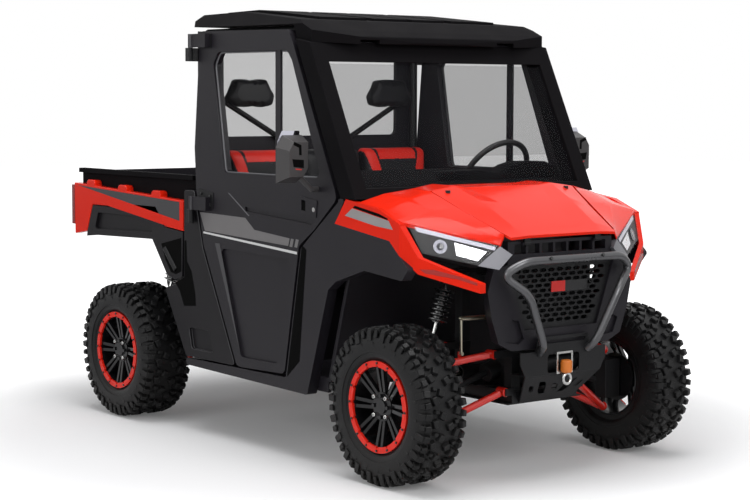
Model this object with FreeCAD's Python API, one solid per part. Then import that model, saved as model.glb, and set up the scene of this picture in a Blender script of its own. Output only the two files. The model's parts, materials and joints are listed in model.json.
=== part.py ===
"""Side by side utility vehicle with a full cab, as an assembly of named solids.

Millimetres. +X forward, +Y to the vehicle's left, +Z up. The origin is on the ground, midway
between the front of the bumper bar and the rear of the tailgate handle. Each node is one STEP
file. Outlines are tables of shares: (along, up) or (along, out, up), where along counts
wheelbases ahead of the rear axle, out counts cab half widths to the right of the centre plane,
and up counts cab heights above the ground.
"""

import FreeCAD, Part
import math
import os

V = FreeCAD.Vector
FORWARD = V(1, 0, 0)
SIDEWAYS = V(0, 1, 0)
UP = V(0, 0, 1)
ENDS = (-1, 1)

# Main proportions
WHEELBASE = 2170.0
FRONT_OVERHANG = WHEELBASE * 0.18433
REAR_OVERHANG = WHEELBASE * 0.27189
CAB_HEIGHT = 2050.0
CAB_HALF_WIDTH = 720.0
FRONT_TRACK = 1370.0
REAR_TRACK = 1336.0
OVERRUN = 5.0
SHUT_GAP = 8.0
SEAT_GAP = 0.3
SHORT_EDGE = 0.01
CORNER_ROOM_SHARE = 0.45
STRAIGHT = math.radians(89)

LENGTH = FRONT_OVERHANG + WHEELBASE + REAR_OVERHANG
FRONT_X = LENGTH / 2
FRONT_AXLE_X = FRONT_X - FRONT_OVERHANG
REAR_AXLE_X = FRONT_AXLE_X - WHEELBASE
REAR_X = -LENGTH / 2

# Wheels and tyres
TYRE_RADIUS = 343.0
TYRE_SEAT_RADIUS = 178.0
FRONT_TYRE_WIDTH = 232.0
REAR_TYRE_WIDTH = 264.0
LUG_HEIGHT = 17.0
LUG_STEPS = 36
BEAD_SHARE = 0.80
BULGE_SHARE = 0.97
BULGE_HEIGHT_SHARE = 0.40
TREAD_SHARE = 0.72
GROOVE_SHARE = 0.05
SHOULDER_SHARE = 0.93
LUG_FOOT_SHARE = 0.70
LUG_CROWN_SHARE = 0.15
LUG_DROP_SHARE = 1.6
RIM_WALL = 7.0
RING_RADIUS = 196.6
RING_WIDTH = 26.0
RING_THICKNESS = 11.0
RING_GAP = 3.0
RING_SCALLOPS = 16
SCALLOP_RADIUS = 7.0
SPOKE_PAIRS = 8
SPOKE_WIDTH = 15.0
SPOKE_SPREAD = 17.0
SPOKE_ROOT_SPREAD = 10.0
SPOKE_THICKNESS = 20.0
SPOKE_DISH = 22.0
SPOKE_ROOT_SHARE = 0.7
HUB_RADIUS = 62.0
HUB_THICKNESS = 26.0
HUB_CAP_RADIUS = 30.0
HUB_CAP_LENGTH = 34.0
NUT_RADIUS = 9.0
NUT_HEIGHT = 14.0
NUT_COUNT = 4
NUT_CIRCLE_RADIUS = 46.0
DISC_RADIUS = 112.0
DISC_THICKNESS = 5.0
AXLE_STUB_RADIUS = 20.0
WHEEL_BEARING_GAP = 6.0

# Steering and suspension
KINGPIN_HALF = 560.0
KNUCKLE_HEIGHT = 180.0
KNUCKLE_THICKNESS = 40.0
KNUCKLE_WIDTH = 70.0
BALL_RADIUS = 17.0
BALL_GAP = 0.3
BALL_STUD_RADIUS = 11.0
BALL_STUD_LENGTH = 22.0
BALL_HOUSING_RADIUS = 21.0
BALL_WELD_SHARE = 0.25
STEER_ARM_REACH = 95.0
STEER_ARM_HEIGHT = 395.0
ARM_TUBE_RADIUS = 16.0
ARM_BUSH_SHARE = 1.2
ARM_BUSH_HALF_SHARE = 1.5
ARM_BASE = 330.0
LOWER_ARM_INNER_HALF = 225.0
UPPER_ARM_INNER_HALF = 290.0
LOWER_ARM_INNER_Z = 375.0
UPPER_ARM_INNER_Z = 545.0
SHOCK_TOP_HALF = 345.0
SHOCK_TOP_DROP = 20.0
SHOCK_OFFSET = 70.0
SHOCK_RADIUS = 24.0
SHOCK_EYE_SHARE = 0.7
SHOCK_BODY_SHARES = (0.12, 0.60)
COIL_SHARES = (0.15, 0.40, 0.60, 0.85)
SPRING_RADIUS = 44.0
SPRING_TURNS = 7
ROD_RADIUS = 8.0
TIE_ROD_RADIUS = 9.0
RACK_HALF = 250.0
RACK_BOOT_RADIUS = 32.0
RACK_BOOT_LENGTH = 60.0
RACK_BOOT_WALL = 6.0
HALF_SHAFT_RADIUS = 14.0
CV_BOOT_RADIUS = 42.0
CV_BOOT_LENGTH = 63.0
GEARCASE_LENGTH = 120.0
GEARCASE_HALF = 120.0
GEARCASE_HEIGHT = 150.0
ENGINE_LENGTH = 400.0
ENGINE_HALF = 210.0
ENGINE_CLEARANCE = 95.0
ENGINE_SETBACK = 38.0
STABILISER_RADIUS = 10.0
STABILISER_X_OFFSET = 93.0
STABILISER_REACH = 27.0
STABILISER_RISE_SHARE = 0.567
STABILISER_HALF = 280.0
STABILISER_LINK_RADIUS = 6.0
STABILISER_EYE = 16.0
STABILISER_TAB = 35.0

# Frame
RAIL_HALF = 170.0
RAIL_WIDTH = 50.0
RAIL_HEIGHT = 50.0
RAIL_BASE = 325.0
POST_SIZE = 48.0
EAR_THICKNESS = 6.0
SKID_THICKNESS = 6.0
FLOOR_THICKNESS = 20.0
TOE_SETBACK = 180.0
FLOOR_BASE = RAIL_BASE + RAIL_HEIGHT
FRAME_REAR_SETBACK = 300.0
FRAME_REAR_X = REAR_AXLE_X - FRAME_REAR_SETBACK
FRAME_FRONT_X = FRONT_AXLE_X + ARM_BASE / 2 + ARM_TUBE_RADIUS * ARM_BUSH_HALF_SHARE + EAR_THICKNESS

# Cab
DOOR_THICKNESS = 46.0
DOOR_CORNER = 30.0
PANEL_THICKNESS = DOOR_THICKNESS + SHUT_GAP
PANEL_CORNER = 15.0
QUARTER_THICKNESS = 40.0
GLASS_THICKNESS = 6.0
CAGE_TUBE_RADIUS = 22.0
CAGE_INSET = 80.0
CAGE_HALF = CAB_HALF_WIDTH - CAGE_INSET
BRACE_RADIUS = 14.0
BRACE_DROP = 130.0
HINGE_PIN_RADIUS = 8.0
HINGE_EYE_SHARE = 1.3
TAILGATE_PIN_SHARE = 0.7
HINGE_BARREL_SHARE = 1.5
HINGE_LENGTH = 130.0
HINGE_LEAF = 5.0
HINGE_STANDOFF = 28.0
HINGE_Y = CAB_HALF_WIDTH + HINGE_STANDOFF
HINGE_WEB_SHARE = 0.6
UPPER_HINGE_Z = CAB_HEIGHT * 0.917
LOWER_HINGE_Z = CAB_HEIGHT * 0.5366
DOOR_REAR_SHARE = 0.300
HINGE_SETBACK = 10.0
HINGE_X = REAR_AXLE_X + WHEELBASE * DOOR_REAR_SHARE + HINGE_SETBACK
REAR_WALL_SETBACK = 23.0
REAR_WALL_X = HINGE_X - REAR_WALL_SETBACK
REAR_WALL_THICKNESS = 20.0
REAR_WALL_TOP = CAB_HEIGHT * 0.956
REAR_WINDOW_BASE = CAB_HEIGHT * 0.707
REAR_WINDOW_TOP = CAB_HEIGHT * 0.912
REAR_WINDOW_INSET = 180.0
REAR_WINDOW_HALF = CAB_HALF_WIDTH - REAR_WINDOW_INSET
ROOF_INSET = 20.0
ROOF_HALF = CAB_HALF_WIDTH - ROOF_INSET
ROOF_CHAMFER = 95.0
ROOF_RIB_HEIGHT = 12.0
PILLAR_DEPTH = 80.0
WIND_HALF = CAB_HALF_WIDTH - PILLAR_DEPTH
HEADER_DEPTH = 46.0
GLASS_INSET = 12.0
RECESS_DEPTH = 12.0
GROOVE_DEPTH = 8.0
HANDLE_HEIGHT = 4.0
HANDLE_SLOT_DEPTH = 10.0
DIVIDER_WIDTH = 40.0
DIVIDER_DEPTH = 12.0
POCKET_DEPTH = 16.0

# Seats and controls
SEAT_BASE_HEIGHT = 320.0
SEAT_BASE_FRONT_X = REAR_AXLE_X + WHEELBASE * 0.5668
SEAT_NOSE = 48.0
SEAT_INNER = 195.0
SEAT_SIDE_GAP = 41.0
SEAT_OUTER = CAB_HALF_WIDTH - PANEL_THICKNESS - SEAT_SIDE_GAP
CUSHION_HEIGHT = 150.0
BACK_THICKNESS = 100.0
BACK_LEAN = 120.0
SEAT_SETBACK = 66.0
HEADREST_Z = CAB_HEIGHT * 0.8137
HEADREST_HALF = CAB_HALF_WIDTH * 0.611
HEADREST_WIDTH = 300.0
HEADREST_HEIGHT = 160.0
HEADREST_THICKNESS = 70.0
SEAT_TOP_DROP = 263.0
SEAT_TOP_Z = HEADREST_Z - SEAT_TOP_DROP
DASH_INSET = 110.0
DASH_HALF = CAB_HALF_WIDTH - DASH_INSET
STEERING_RADIUS = 190.0
STEERING_GRIP = 14.0
STEERING_CLEARANCE = 20.0
STEERING_X = REAR_AXLE_X + WHEELBASE * 0.7005
STEERING_Y = CAB_HALF_WIDTH - DOOR_THICKNESS - STEERING_CLEARANCE - STEERING_GRIP - STEERING_RADIUS
STEERING_Z = CAB_HEIGHT * 0.6195
STEERING_SPOKE_SHARE = 0.8
STEERING_TILT = 32.0
COLUMN_RADIUS = 26.0
COLUMN_LENGTH = 190.0
STEER_HUB_RADIUS = 45.0
STEER_HUB_LENGTH = 40.0
MIRROR_REAR_X = REAR_AXLE_X + WHEELBASE * 0.7512
MIRROR_THICKNESS = 75.0
MIRROR_STANDOFF = 70.0
MIRROR_WIDTH = 140.0
MIRROR_HEIGHT = 210.0
MIRROR_CENTRE_Z = CAB_HEIGHT * 0.671
MIRROR_TAPER_SHARE = 0.72
MIRROR_ARM_RADIUS = 12.0
MIRROR_ARM_RISE = 60.0

# Nose
HOOD_THICKNESS = 12.0
HOOD_GAP = 8.0
COWL_THICKNESS = 16.0
FENDER_THICKNESS = 30.0
FIREWALL_X = REAR_AXLE_X + WHEELBASE * 0.8581
FIREWALL_TOP = CAB_HEIGHT * 0.4976
NOSE_FACE_X = REAR_AXLE_X + WHEELBASE * 1.1429
LAMP_THICKNESS = 50.0
WING_DEPTH = 40.0
CHEEK_TAPER_SHARE = 0.86
CHEEK_SETBACK = 18.0
CHEEK_POCKET_DEPTH = 14.0
GRILLE_THICKNESS = 12.0
GRILLE_SETBACK = 24.0
MESH_PITCH_Y = 50.0
MESH_PITCH_Z = 22.0
MESH_WEB = 6.0
MESH_MARGIN = 34.0
SLOT_COUNT = 7
SLOT_BAR_SETBACK = 26.0
SLOT_BAR_DEPTH = 30.0
SLOT_BAR_HALF = CAB_HALF_WIDTH * 0.430
SLOT_BAR_TOP = CAB_HEIGHT * 0.5073
SLOT_BAR_LOW = CAB_HEIGHT * 0.4585
SLOT_FOOT_MARGIN = 44.0
SLOT_RUN_SHARE = 0.90
SLOT_WIDTH_SHARE = 0.42
SLOT_MARGIN = 14.0
HOOD_HINGE_SETBACK = 15.0
HOOD_HINGE_X = NOSE_FACE_X - HOOD_HINGE_SETBACK
HOOD_HINGE_DROP = 10.0
HOOD_HINGE_Z = SLOT_BAR_TOP - HOOD_HINGE_DROP
HOOD_HINGE_HALF = CAB_HALF_WIDTH * 0.2917
HOOD_HINGE_LENGTH = 36.0
HOOD_PIN_RADIUS = 4.0
BAR_RADIUS = 24.0
BAR_FOOT_LENGTH = 72.0
PLATE_THICKNESS = 6.0
BULL_PLATE_TOP = CAB_HEIGHT * 0.2732
BULL_PLATE_FOLD = CAB_HEIGHT * 0.222
BULL_PLATE_HALF = 255.0
TONGUE_TOP = CAB_HEIGHT * 0.303
TONGUE_HALF = 165.0
TONGUE_TAPER = 15.0
TONGUE_SLOT_HALF = 130.0
TONGUE_SLOT_HEIGHT = 16.0
BULL_PLATE_FOOT_HALF = 154.0
FOLD_INSETS = (1.3, 0.4)
WINCH_WINDOW_HALF = 95.0
WINCH_RADIUS = 38.0
WINCH_CLEARANCE = 30.4
WINCH_HALF = 126.0
FAIRLEAD_HALF = 48.0
FAIRLEAD_WALL = 9.0
FAIRLEAD_DEPTH = 8.0
HOOK_RADIUS = 22.0
HOOK_WIRE = 7.0

# Cargo bed
BED_GAP = 18.0
BED_FRONT_X = REAR_WALL_X - REAR_WALL_THICKNESS - BED_GAP
BED_REAR_SETBACK = 65.0
BED_REAR_X = REAR_X + BED_REAR_SETBACK
BED_SIDE_THICKNESS = 44.0
BED_HALF = CAB_HALF_WIDTH - BED_SIDE_THICKNESS
BED_FLOOR_Z = CAB_HEIGHT * 0.4683
BED_TOP_Z = CAB_HEIGHT * 0.6156
BED_WALL = 15.0
BED_RAIL_HEIGHT = 24.0
BED_RAIL_WIDTH = 24.0
BED_RIB_COUNT = 7
BED_RIB_HEIGHT = 5.0
BED_RIB_WIDTH = 60.0
BED_RUNNER_HEIGHT = 55.0
BED_PIVOT_SETBACK = 410.0
BED_PIVOT_X = REAR_AXLE_X - BED_PIVOT_SETBACK
BED_PIVOT_DROP = 110.0
BED_PIVOT_Z = BED_FLOOR_Z - BED_PIVOT_DROP
RING_TOP_DROP = 90.0
RING_TOP_Z = BED_FLOOR_Z - RING_TOP_DROP
SHOCK_TOP_Z = RING_TOP_Z - SHOCK_TOP_DROP
ENGINE_TOP = RING_TOP_Z - ENGINE_CLEARANCE
PIVOT_RADIUS = 15.0
PIVOT_FIT = 0.05
TAB_WIDTH = 88.0
TAB_HEIGHT = 28.0
TAB_CORNER = 22.0
TAILGATE_THICKNESS = 30.0
TAILGATE_INSET = 80.0
TAILGATE_HALF = CAB_HALF_WIDTH - TAILGATE_INSET
TAILGATE_DROP = 17.0
TAILGATE_TOP = BED_TOP_Z - TAILGATE_DROP
TAILGATE_HINGE_DROP = 22.0
TAILGATE_HINGE_Z = BED_FLOOR_Z - TAILGATE_HINGE_DROP
TAILGATE_HINGE_SHARE = 0.7
TAILGATE_PANELS = 3
TAILGATE_PRESS = 8.0
LAMP_WIDTH = 60.0
LAMP_DEPTH = 30.0
LAMP_DROP = 90.0
RECEIVER_OUTER = 63.5
RECEIVER_INNER = 51.0
RECEIVER_LENGTH = 220.0
RECEIVER_PIN_RADIUS = 8.0
MUFFLER_RADIUS = 80.0
MUFFLER_HALF = 220.0

# Side outlines as (along, up)
DOOR_SHARES = [
    (0.335, 0.454),
    (0.465, 0.184),
    (0.484, 0.182),
    (0.638, 0.187),
    (0.646, 0.195),
    (0.697, 0.478),
    (0.751, 0.517),
    (0.825, 0.585),
    (0.820, 0.605),
    (0.676, 0.920),
    (0.659, 0.951),
    (0.324, 0.955),
    (DOOR_REAR_SHARE, 0.683),
    (0.306, 0.583),
]
WINDOW_SHARES = [
    (0.396, 0.906),
    (0.376, 0.878),
    (0.418, 0.627),
    (0.774, 0.629),
    (0.672, 0.884),
    (0.654, 0.906),
]
DOOR_RECESS_SHARES = [(0.400, 0.452), (0.482, 0.205), (0.622, 0.207), (0.668, 0.445)]
DOOR_GROOVE_SHARES = [(0.500, 0.543), (0.740, 0.527), (0.752, 0.534), (0.748, 0.539), (0.500, 0.553)]
HANDLE_SHARES = [(0.700, 0.588), (0.762, 0.580), (0.758, 0.543), (0.700, 0.548)]
HANDLE_SLOT_SHARES = [(0.708, 0.580), (0.722, 0.578), (0.722, 0.555), (0.708, 0.557)]
DIVIDER_SHARE = 0.610
SIDE_PANEL_SHARES = [
    (0.833, 0.588),
    (0.853, 0.588),
    (0.820, 0.534),
    (0.996, 0.509),
    (1.055, 0.454),
    (1.035, 0.429),
    (0.917, 0.441),
    (0.825, 0.410),
    (0.798, 0.390),
    (0.726, 0.151),
    (0.263, 0.161),
    (0.259, 0.177),
    (0.470, 0.177),
    (0.650, 0.180),
    (0.704, 0.473),
    (0.831, 0.580),
]
QUARTER_SHARES = [
    (0.259, 0.182),
    (0.458, 0.182),
    (0.331, 0.446),
    (0.297, 0.580),
    (0.255, 0.580),
    (0.253, 0.366),
    (0.222, 0.352),
    (0.171, 0.338),
]
QUARTER_POCKET_SHARES = [(0.272, 0.252), (0.352, 0.252), (0.376, 0.202), (0.284, 0.202)]
FENDER_SHARES = [
    (0.857, 0.588),
    (0.960, 0.573),
    (1.028, 0.545),
    (1.028, 0.4792),
    (0.996, 0.509),
    (0.820, 0.534),
]
ROOF_SHARES = [
    (0.758, 0.918),
    (0.752, 0.936),
    (0.728, 0.949),
    (0.677, 0.973),
    (0.429, 0.998),
    (0.281, 0.995),
    (0.260, 0.975),
    (0.272, 0.966),
    (0.666, 0.961),
    (0.677, 0.932),
]
PILLAR_SHARES = [(0.684, 0.9303), (0.733, 0.9220), (0.887, 0.588), (0.8385, 0.588)]
SCREEN_SHARES = (0.13, 0.918)
SCREEN_BAR_SHARES = (0.125, 0.935)
BED_SIDE_SHARES = [
    (-0.249, 0.577),
    (0.251, 0.554),
    (0.250, 0.481),
    (0.171, 0.488),
    (0.134, 0.524),
    (-0.161, 0.524),
    (-0.189, 0.454),
    (-0.247, 0.444),
]
TAB_SHARES = [(-0.168, 0.5733), (-0.019, 0.5664), (0.133, 0.5594)]
FLARE_SHARES = [
    (0.249, 0.479),
    (0.245, 0.371),
    (0.217, 0.361),
    (0.180, 0.371),
    (0.116, 0.453),
    (-0.144, 0.446),
    (-0.189, 0.441),
    (-0.187, 0.452),
    (-0.159, 0.522),
    (0.132, 0.522),
    (0.169, 0.486),
]
FLARE_POCKET_SHARES = [(0.120, 0.470), (0.112, 0.505), (-0.134, 0.505), (-0.150, 0.462)]
DASH_SHARES = [
    (0.858, 0.6024),
    (0.779, 0.6439),
    (0.742, 0.6293),
    (0.733, 0.5756),
    (0.779, 0.4976),
    (0.858, 0.4976),
]

# Plan outlines as (along, out)
ROOF_PLAN_SHARES = [(0.255, 0.90), (0.290, 0.98), (0.676, 0.98), (0.728, 0.98), (0.752, 0.66), (0.757, 0.0)]
ROOF_NOTCH_SHARES = [(0.715, 0.66), (0.715, 0.48), (0.765, 0.50), (0.765, 0.64)]
ROOF_NOTCH_UPS = (0.900, 0.929)
ROOF_RIB_SHARES = [(0.02, 0.30), (0.36, 0.74)]
ROOF_RIB_ENDS = (0.300, 0.655)

# Stations of lofted skins, each as along and then (out, up) points of the upper line
HOOD_SHARES = [
    (0.9600, [(0.0, 0.6105), (0.300, 0.6105), (0.400, 0.6150), (0.600, 0.6059)]),
    (1.0369, [(0.0, 0.5780), (0.210, 0.5775), (0.360, 0.5800), (0.5335, 0.5661)]),
    (1.1198, [(0.0, 0.5315), (0.140, 0.5315), (0.330, 0.5312), (0.462, 0.5262)]),
    (1.1415, [(0.0, 0.5195), (0.110, 0.5195), (0.300, 0.5190), (0.443, 0.5165)]),
]
COWL_SHARES = [
    (0.8880, [(0.0, 0.6130), (0.300, 0.6130), (0.400, 0.6165), (0.600, 0.6059)]),
    (0.9558, [(0.0, 0.6108), (0.300, 0.6108), (0.400, 0.6153), (0.600, 0.6059)]),
]
SHOULDER_SHARES = [
    (0.8880, [(0.600, 0.6059), (0.780, 0.5990), (0.972, 0.5829)]),
    (0.9600, [(0.600, 0.6059), (0.780, 0.5905), (0.972, 0.5673)]),
    (1.0240, [(0.5473, 0.5740), (0.740, 0.5680), (0.972, 0.5490)]),
    (1.1286, [(0.4550, 0.5225), (0.470, 0.5140), (0.486, 0.5020)]),
]
FENDER_TIP_SHARES = [
    (1.0267, [(1.000, 0.4800), (1.000, 0.5445), (0.9583, 0.5445), (0.9583, 0.4800)]),
    (1.0608, [(0.940, 0.4440), (0.940, 0.4775), (0.8990, 0.4775), (0.8990, 0.4440)]),
    (1.1300, [(0.6417, 0.4044), (0.6417, 0.4244), (0.600, 0.4244), (0.600, 0.4044)]),
]

# Corners of the nose as (along, out, up)
LAMP_CORNERS = [(1.0254, 0.9472, 0.5502), (1.1286, 0.4861, 0.5000), (1.1166, 0.6250, 0.4600)]
LAMP_LOW_CORNER = (-0.654, 1.079)
WING_CORNERS = [
    (1.1286, 0.4861, 0.4985),
    (1.1410, 0.4200, 0.4810),
    (1.1373, 0.5139, 0.4512),
    (1.1166, 0.6250, 0.4600),
]

# Front outlines as (out, up)
CHEEK_SHARES = [
    (0.444, 0.4585),
    (0.549, 0.4512),
    (0.596, 0.4054),
    (0.5625, 0.3493),
    (0.5056, 0.2956),
    (0.4014, 0.2790),
    (0.2400, 0.2780),
]
GRILLE_SHARES = [(0.444, 0.4585), (0.299, 0.3195)]
CHEEK_POCKET_SHARES = [
    (0.483, 0.329),
    (0.392, 0.345),
    (0.345, 0.340),
    (0.305, 0.302),
    (0.345, 0.292),
    (0.443, 0.297),
]
BAR_SHARES = [(0.207, 0.2830), (0.381, 0.4020), (0.549, 0.4430), (0.410, 0.4675)]
BAR_OFFSETS = (55.0, 25.0, 78.0, 28.0)
CELL_SHARES = [(-1, 0), (-0.6, 1), (0.6, 1), (1, 0), (0.6, -1), (-0.6, -1)]
PLATE_SLOT_LOOP = [(-1, -0.6, -1), (-0.4, -1, -1), (0.8, -1, -1), (1, 0.6, 1), (0.4, 1, 1), (-0.8, 1, 1)]
PLATE_SLOT_SHARES = [(0.0, 0.055, 0.014), (0.105, 0.075, 0.030), (0.195, 0.045, 0.014)]


def side_points(shares, y=0.0):
    """Points of a side outline at one distance from the centre plane."""
    return [V(REAR_AXLE_X + WHEELBASE * u, y, CAB_HEIGHT * w) for u, w in shares]


def section_points(along, line, right=1):
    """Points of a cross section at one place along, on the right side or mirrored."""
    x = REAR_AXLE_X + WHEELBASE * along
    return [V(x, -right * CAB_HALF_WIDTH * v, CAB_HEIGHT * w) for v, w in line]


def front_points(shares, x):
    """Right-hand points of a front outline at x."""
    return [V(x, -CAB_HALF_WIDTH * v, CAB_HEIGHT * w) for v, w in shares]


def corner_points(triples):
    """Right-hand points given as (along, out, up)."""
    return [V(REAR_AXLE_X + WHEELBASE * u, -CAB_HALF_WIDTH * v, CAB_HEIGHT * w) for u, v, w in triples]


def other_point(point):
    """The point mirrored across the centre plane."""
    return V(point.x, -point.y, point.z)


def mirrored_loop(points):
    """A right half outline closed by its mirror image."""
    return points + [other_point(point) for point in reversed(points) if abs(point.y) > 0]


def rounded_face(points, radius):
    """A flat face with its corners rounded to one radius, less where a side is short."""
    edges = []
    corners = []
    count = len(points)
    for index, point in enumerate(points):
        back = points[index - 1] - point
        ahead = points[(index + 1) % count] - point
        half = back.getAngle(ahead) / 2
        room = min(back.Length, ahead.Length) * CORNER_ROOM_SHARE
        run = min(radius / math.tan(half), room)
        back.normalize()
        ahead.normalize()
        if half < STRAIGHT:
            bisector = back + ahead
            bisector.normalize()
            bend = run * math.tan(half)
            mid = point + bisector * (bend / math.sin(half) - bend)
            corners.append((point + back * run, mid, point + ahead * run))
        else:
            corners.append((point, None, point))
    for index, (start, mid, end) in enumerate(corners):
        if mid is not None:
            edges.append(Part.Arc(start, mid, end).toShape())
        following = corners[(index + 1) % count][0]
        if (following - end).Length > SHORT_EDGE:
            edges.append(Part.makeLine(end, following))
    return Part.Face(Part.Wire(edges))


def plate(points, along, radius=0.0):
    """A plate: the outline pushed along a vector."""
    if radius > 0:
        return rounded_face(points, radius).extrude(along)
    return Part.Face(Part.makePolygon(points + [points[0]])).extrude(along)


def side_plate(shares, inner, outer, radius=0.0):
    """A right-hand plate in a side outline, between two distances from the centre plane."""
    return plate(side_points(shares, -outer), SIDEWAYS * (outer - inner), radius)


def skin_loft(stations, thickness, whole):
    """A skin of one thickness under upper lines at places along, over half the width or all of it."""
    wires = []
    for along, line in stations:
        top = section_points(along, line)
        if whole:
            top = [point for point in reversed(top)] + section_points(along, line[1:], -1)
        loop = top + [point - UP * thickness for point in reversed(top)]
        wires.append(Part.makePolygon(loop + [loop[0]]))
    return Part.makeLoft(wires, True, True)


def station_loft(stations):
    """A ruled body through closed cross sections on the right side."""
    wires = []
    for along, outline in stations:
        points = section_points(along, outline)
        wires.append(Part.makePolygon(points + [points[0]]))
    return Part.makeLoft(wires, True, True)


def flat_sided(first, second):
    """A solid of flat faces between two outlines with as many points."""
    loops = [first, second]
    for index in range(len(first)):
        loops.append([first[index - 1], first[index], second[index], second[index - 1]])
    faces = [Part.Face(Part.makePolygon(loop + [loop[0]])) for loop in loops]
    shell = Part.Shell(faces)
    shell.sewShape()
    solid = Part.Solid(shell)
    return solid if solid.Volume > 0 else solid.reversed()


def box(low, high):
    """A box between two opposite corners given as triples."""
    lows = [min(a, b) for a, b in zip(low, high)]
    size = [abs(b - a) for a, b in zip(low, high)]
    return Part.makeBox(size[0], size[1], size[2], V(*lows))


def rod(start, end, radius):
    """A round bar between two points."""
    axis = end - start
    return Part.makeCylinder(radius, axis.Length, start, axis)


def bent_tube(points, radius):
    """A round tube through corner points, with ball corners."""
    solids = [rod(a, b, radius) for a, b in zip(points, points[1:])]
    balls = [Part.makeSphere(radius, point) for point in points[1:-1]]
    return fused(solids + balls)


def fused(solids):
    """One solid from pieces that meet."""
    return solids[0].multiFuse(solids[1:]).removeSplitter() if len(solids) > 1 else solids[0]


def other_side(shape):
    """The mirror image across the centre plane."""
    return shape.mirror(V(0, 0, 0), SIDEWAYS)


def pair(shape):
    """A piece and its mirror image, as two solids of one node."""
    return Part.makeCompound([shape, other_side(shape)])


def around(shape, count, axis=SIDEWAYS):
    """Copies of a shape spread evenly about the origin."""
    copies = []
    for index in range(count):
        copy = shape.copy()
        copy.rotate(V(0, 0, 0), axis, index * 360.0 / count)
        copies.append(copy)
    return copies


# Wheels


def wheel_wedge(outline, step):
    """One facet of a tyre: an outline in (offset, radius) between two radial planes."""
    turn = 2 * math.pi / LUG_STEPS
    ends = [
        [V(r * math.sin(angle), y, -r * math.cos(angle)) for y, r in outline]
        for angle in (step * turn, (step + 1) * turn)
    ]
    return flat_sided(ends[0], ends[1])


def tyre(width):
    """Faceted carcass with two staggered rows of lugs that run down the side walls."""
    half = width / 2
    base = TYRE_RADIUS - LUG_HEIGHT
    flat_share = 1 / math.cos(math.pi / LUG_STEPS)
    seat = TYRE_SEAT_RADIUS * flat_share
    bead_top = (RING_RADIUS + RING_GAP) * flat_share
    wall = base - bead_top
    bead = half * BEAD_SHARE
    groove = half * GROOVE_SHARE
    tread = half * TREAD_SHARE
    lug_foot = bead_top + wall * LUG_FOOT_SHARE
    foot = [(bead, bead_top), (bead, seat), (0.0, seat)]
    bulge = (half * BULGE_SHARE, bead_top + wall * BULGE_HEIGHT_SHARE)
    valley = [(0.0, base), (tread, base), (half * SHOULDER_SHARE, lug_foot), bulge]
    lug = [
        (0.0, base),
        (groove, base),
        (groove, TYRE_RADIUS),
        (tread, TYRE_RADIUS - LUG_HEIGHT * LUG_CROWN_SHARE),
        (half, TYRE_RADIUS - LUG_HEIGHT * LUG_DROP_SHARE),
        (half, lug_foot),
        bulge,
    ]
    wedges = []
    for step in (0, 1):
        for side in ENDS:
            outline = (lug if (step == 0) == (side > 0) else valley) + foot
            wedges.append(wheel_wedge([(side * y, r) for y, r in outline], step))
    return fused(around(fused(wedges), LUG_STEPS // 2))


def spoke_pair(face_y, inner):
    """Two spokes that spread from the hub to the barrel, leaning out to the wheel's face."""
    spokes = []
    root_y = face_y - SPOKE_DISH
    root = HUB_RADIUS * SPOKE_ROOT_SHARE
    tip = inner + RIM_WALL / 2
    for side in ENDS:
        near = side * SPOKE_ROOT_SPREAD
        far = side * SPOKE_SPREAD
        outline = [
            V(near - SPOKE_WIDTH / 2, root_y, root),
            V(near + SPOKE_WIDTH / 2, root_y, root),
            V(far + SPOKE_WIDTH / 2, face_y, tip),
            V(far - SPOKE_WIDTH / 2, face_y, tip),
        ]
        spokes.append(plate(outline, SIDEWAYS * SPOKE_THICKNESS))
    return spokes


def rim(width):
    """Barrel, dished paired spokes, hub with cap and nuts, stub and brake disc, facing left."""
    half = width / 2 * BEAD_SHARE - SEAT_GAP
    outer = TYRE_SEAT_RADIUS - SEAT_GAP
    inner = outer - RIM_WALL
    start = V(0, -half, 0)
    barrel = Part.makeCylinder(outer, 2 * half, start, SIDEWAYS)
    barrel = barrel.cut(Part.makeCylinder(inner, 2 * half, start, SIDEWAYS))
    face_y = half - SPOKE_THICKNESS
    root_y = face_y - SPOKE_DISH
    hub_face = root_y + HUB_THICKNESS
    solids = [barrel, Part.makeCylinder(HUB_RADIUS, HUB_THICKNESS, V(0, root_y, 0), SIDEWAYS)]
    for spoke in spoke_pair(face_y, inner):
        solids += around(spoke, SPOKE_PAIRS)
    solids.append(Part.makeCylinder(HUB_CAP_RADIUS, HUB_CAP_LENGTH, V(0, root_y, 0), SIDEWAYS))
    nut_points = [V(0, hub_face - OVERRUN, NUT_CIRCLE_RADIUS) + offset for offset in hexagon(NUT_RADIUS)]
    solids += around(plate(nut_points, SIDEWAYS * (NUT_HEIGHT + OVERRUN)), NUT_COUNT)
    stub_end = -half + KNUCKLE_THICKNESS
    solids.append(rod(V(0, stub_end, 0), V(0, root_y, 0), AXLE_STUB_RADIUS))
    disc_y = stub_end + WHEEL_BEARING_GAP
    solids.append(Part.makeCylinder(DISC_RADIUS, DISC_THICKNESS, V(0, disc_y, 0), SIDEWAYS))
    return fused(solids)


def hexagon(radius):
    """Corner offsets of a hexagon in an upright plane along the vehicle."""
    turns = [math.radians(60 * index) for index in range(6)]
    return [V(math.cos(turn) * radius, 0, math.sin(turn) * radius) for turn in turns]


def bead_ring():
    """Flat clamp ring with a scalloped inner edge, in front of the tyre's bead."""
    inner = RING_RADIUS - RING_WIDTH
    ring = Part.makeCylinder(RING_RADIUS, RING_THICKNESS, V(0, 0, 0), SIDEWAYS)
    ring = ring.cut(Part.makeCylinder(inner, RING_THICKNESS, V(0, 0, 0), SIDEWAYS))
    depth = RING_THICKNESS + 2 * OVERRUN
    scallop = Part.makeCylinder(SCALLOP_RADIUS, depth, V(inner, -OVERRUN, 0), SIDEWAYS)
    return ring.cut(Part.makeCompound(around(scallop, RING_SCALLOPS)))


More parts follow.
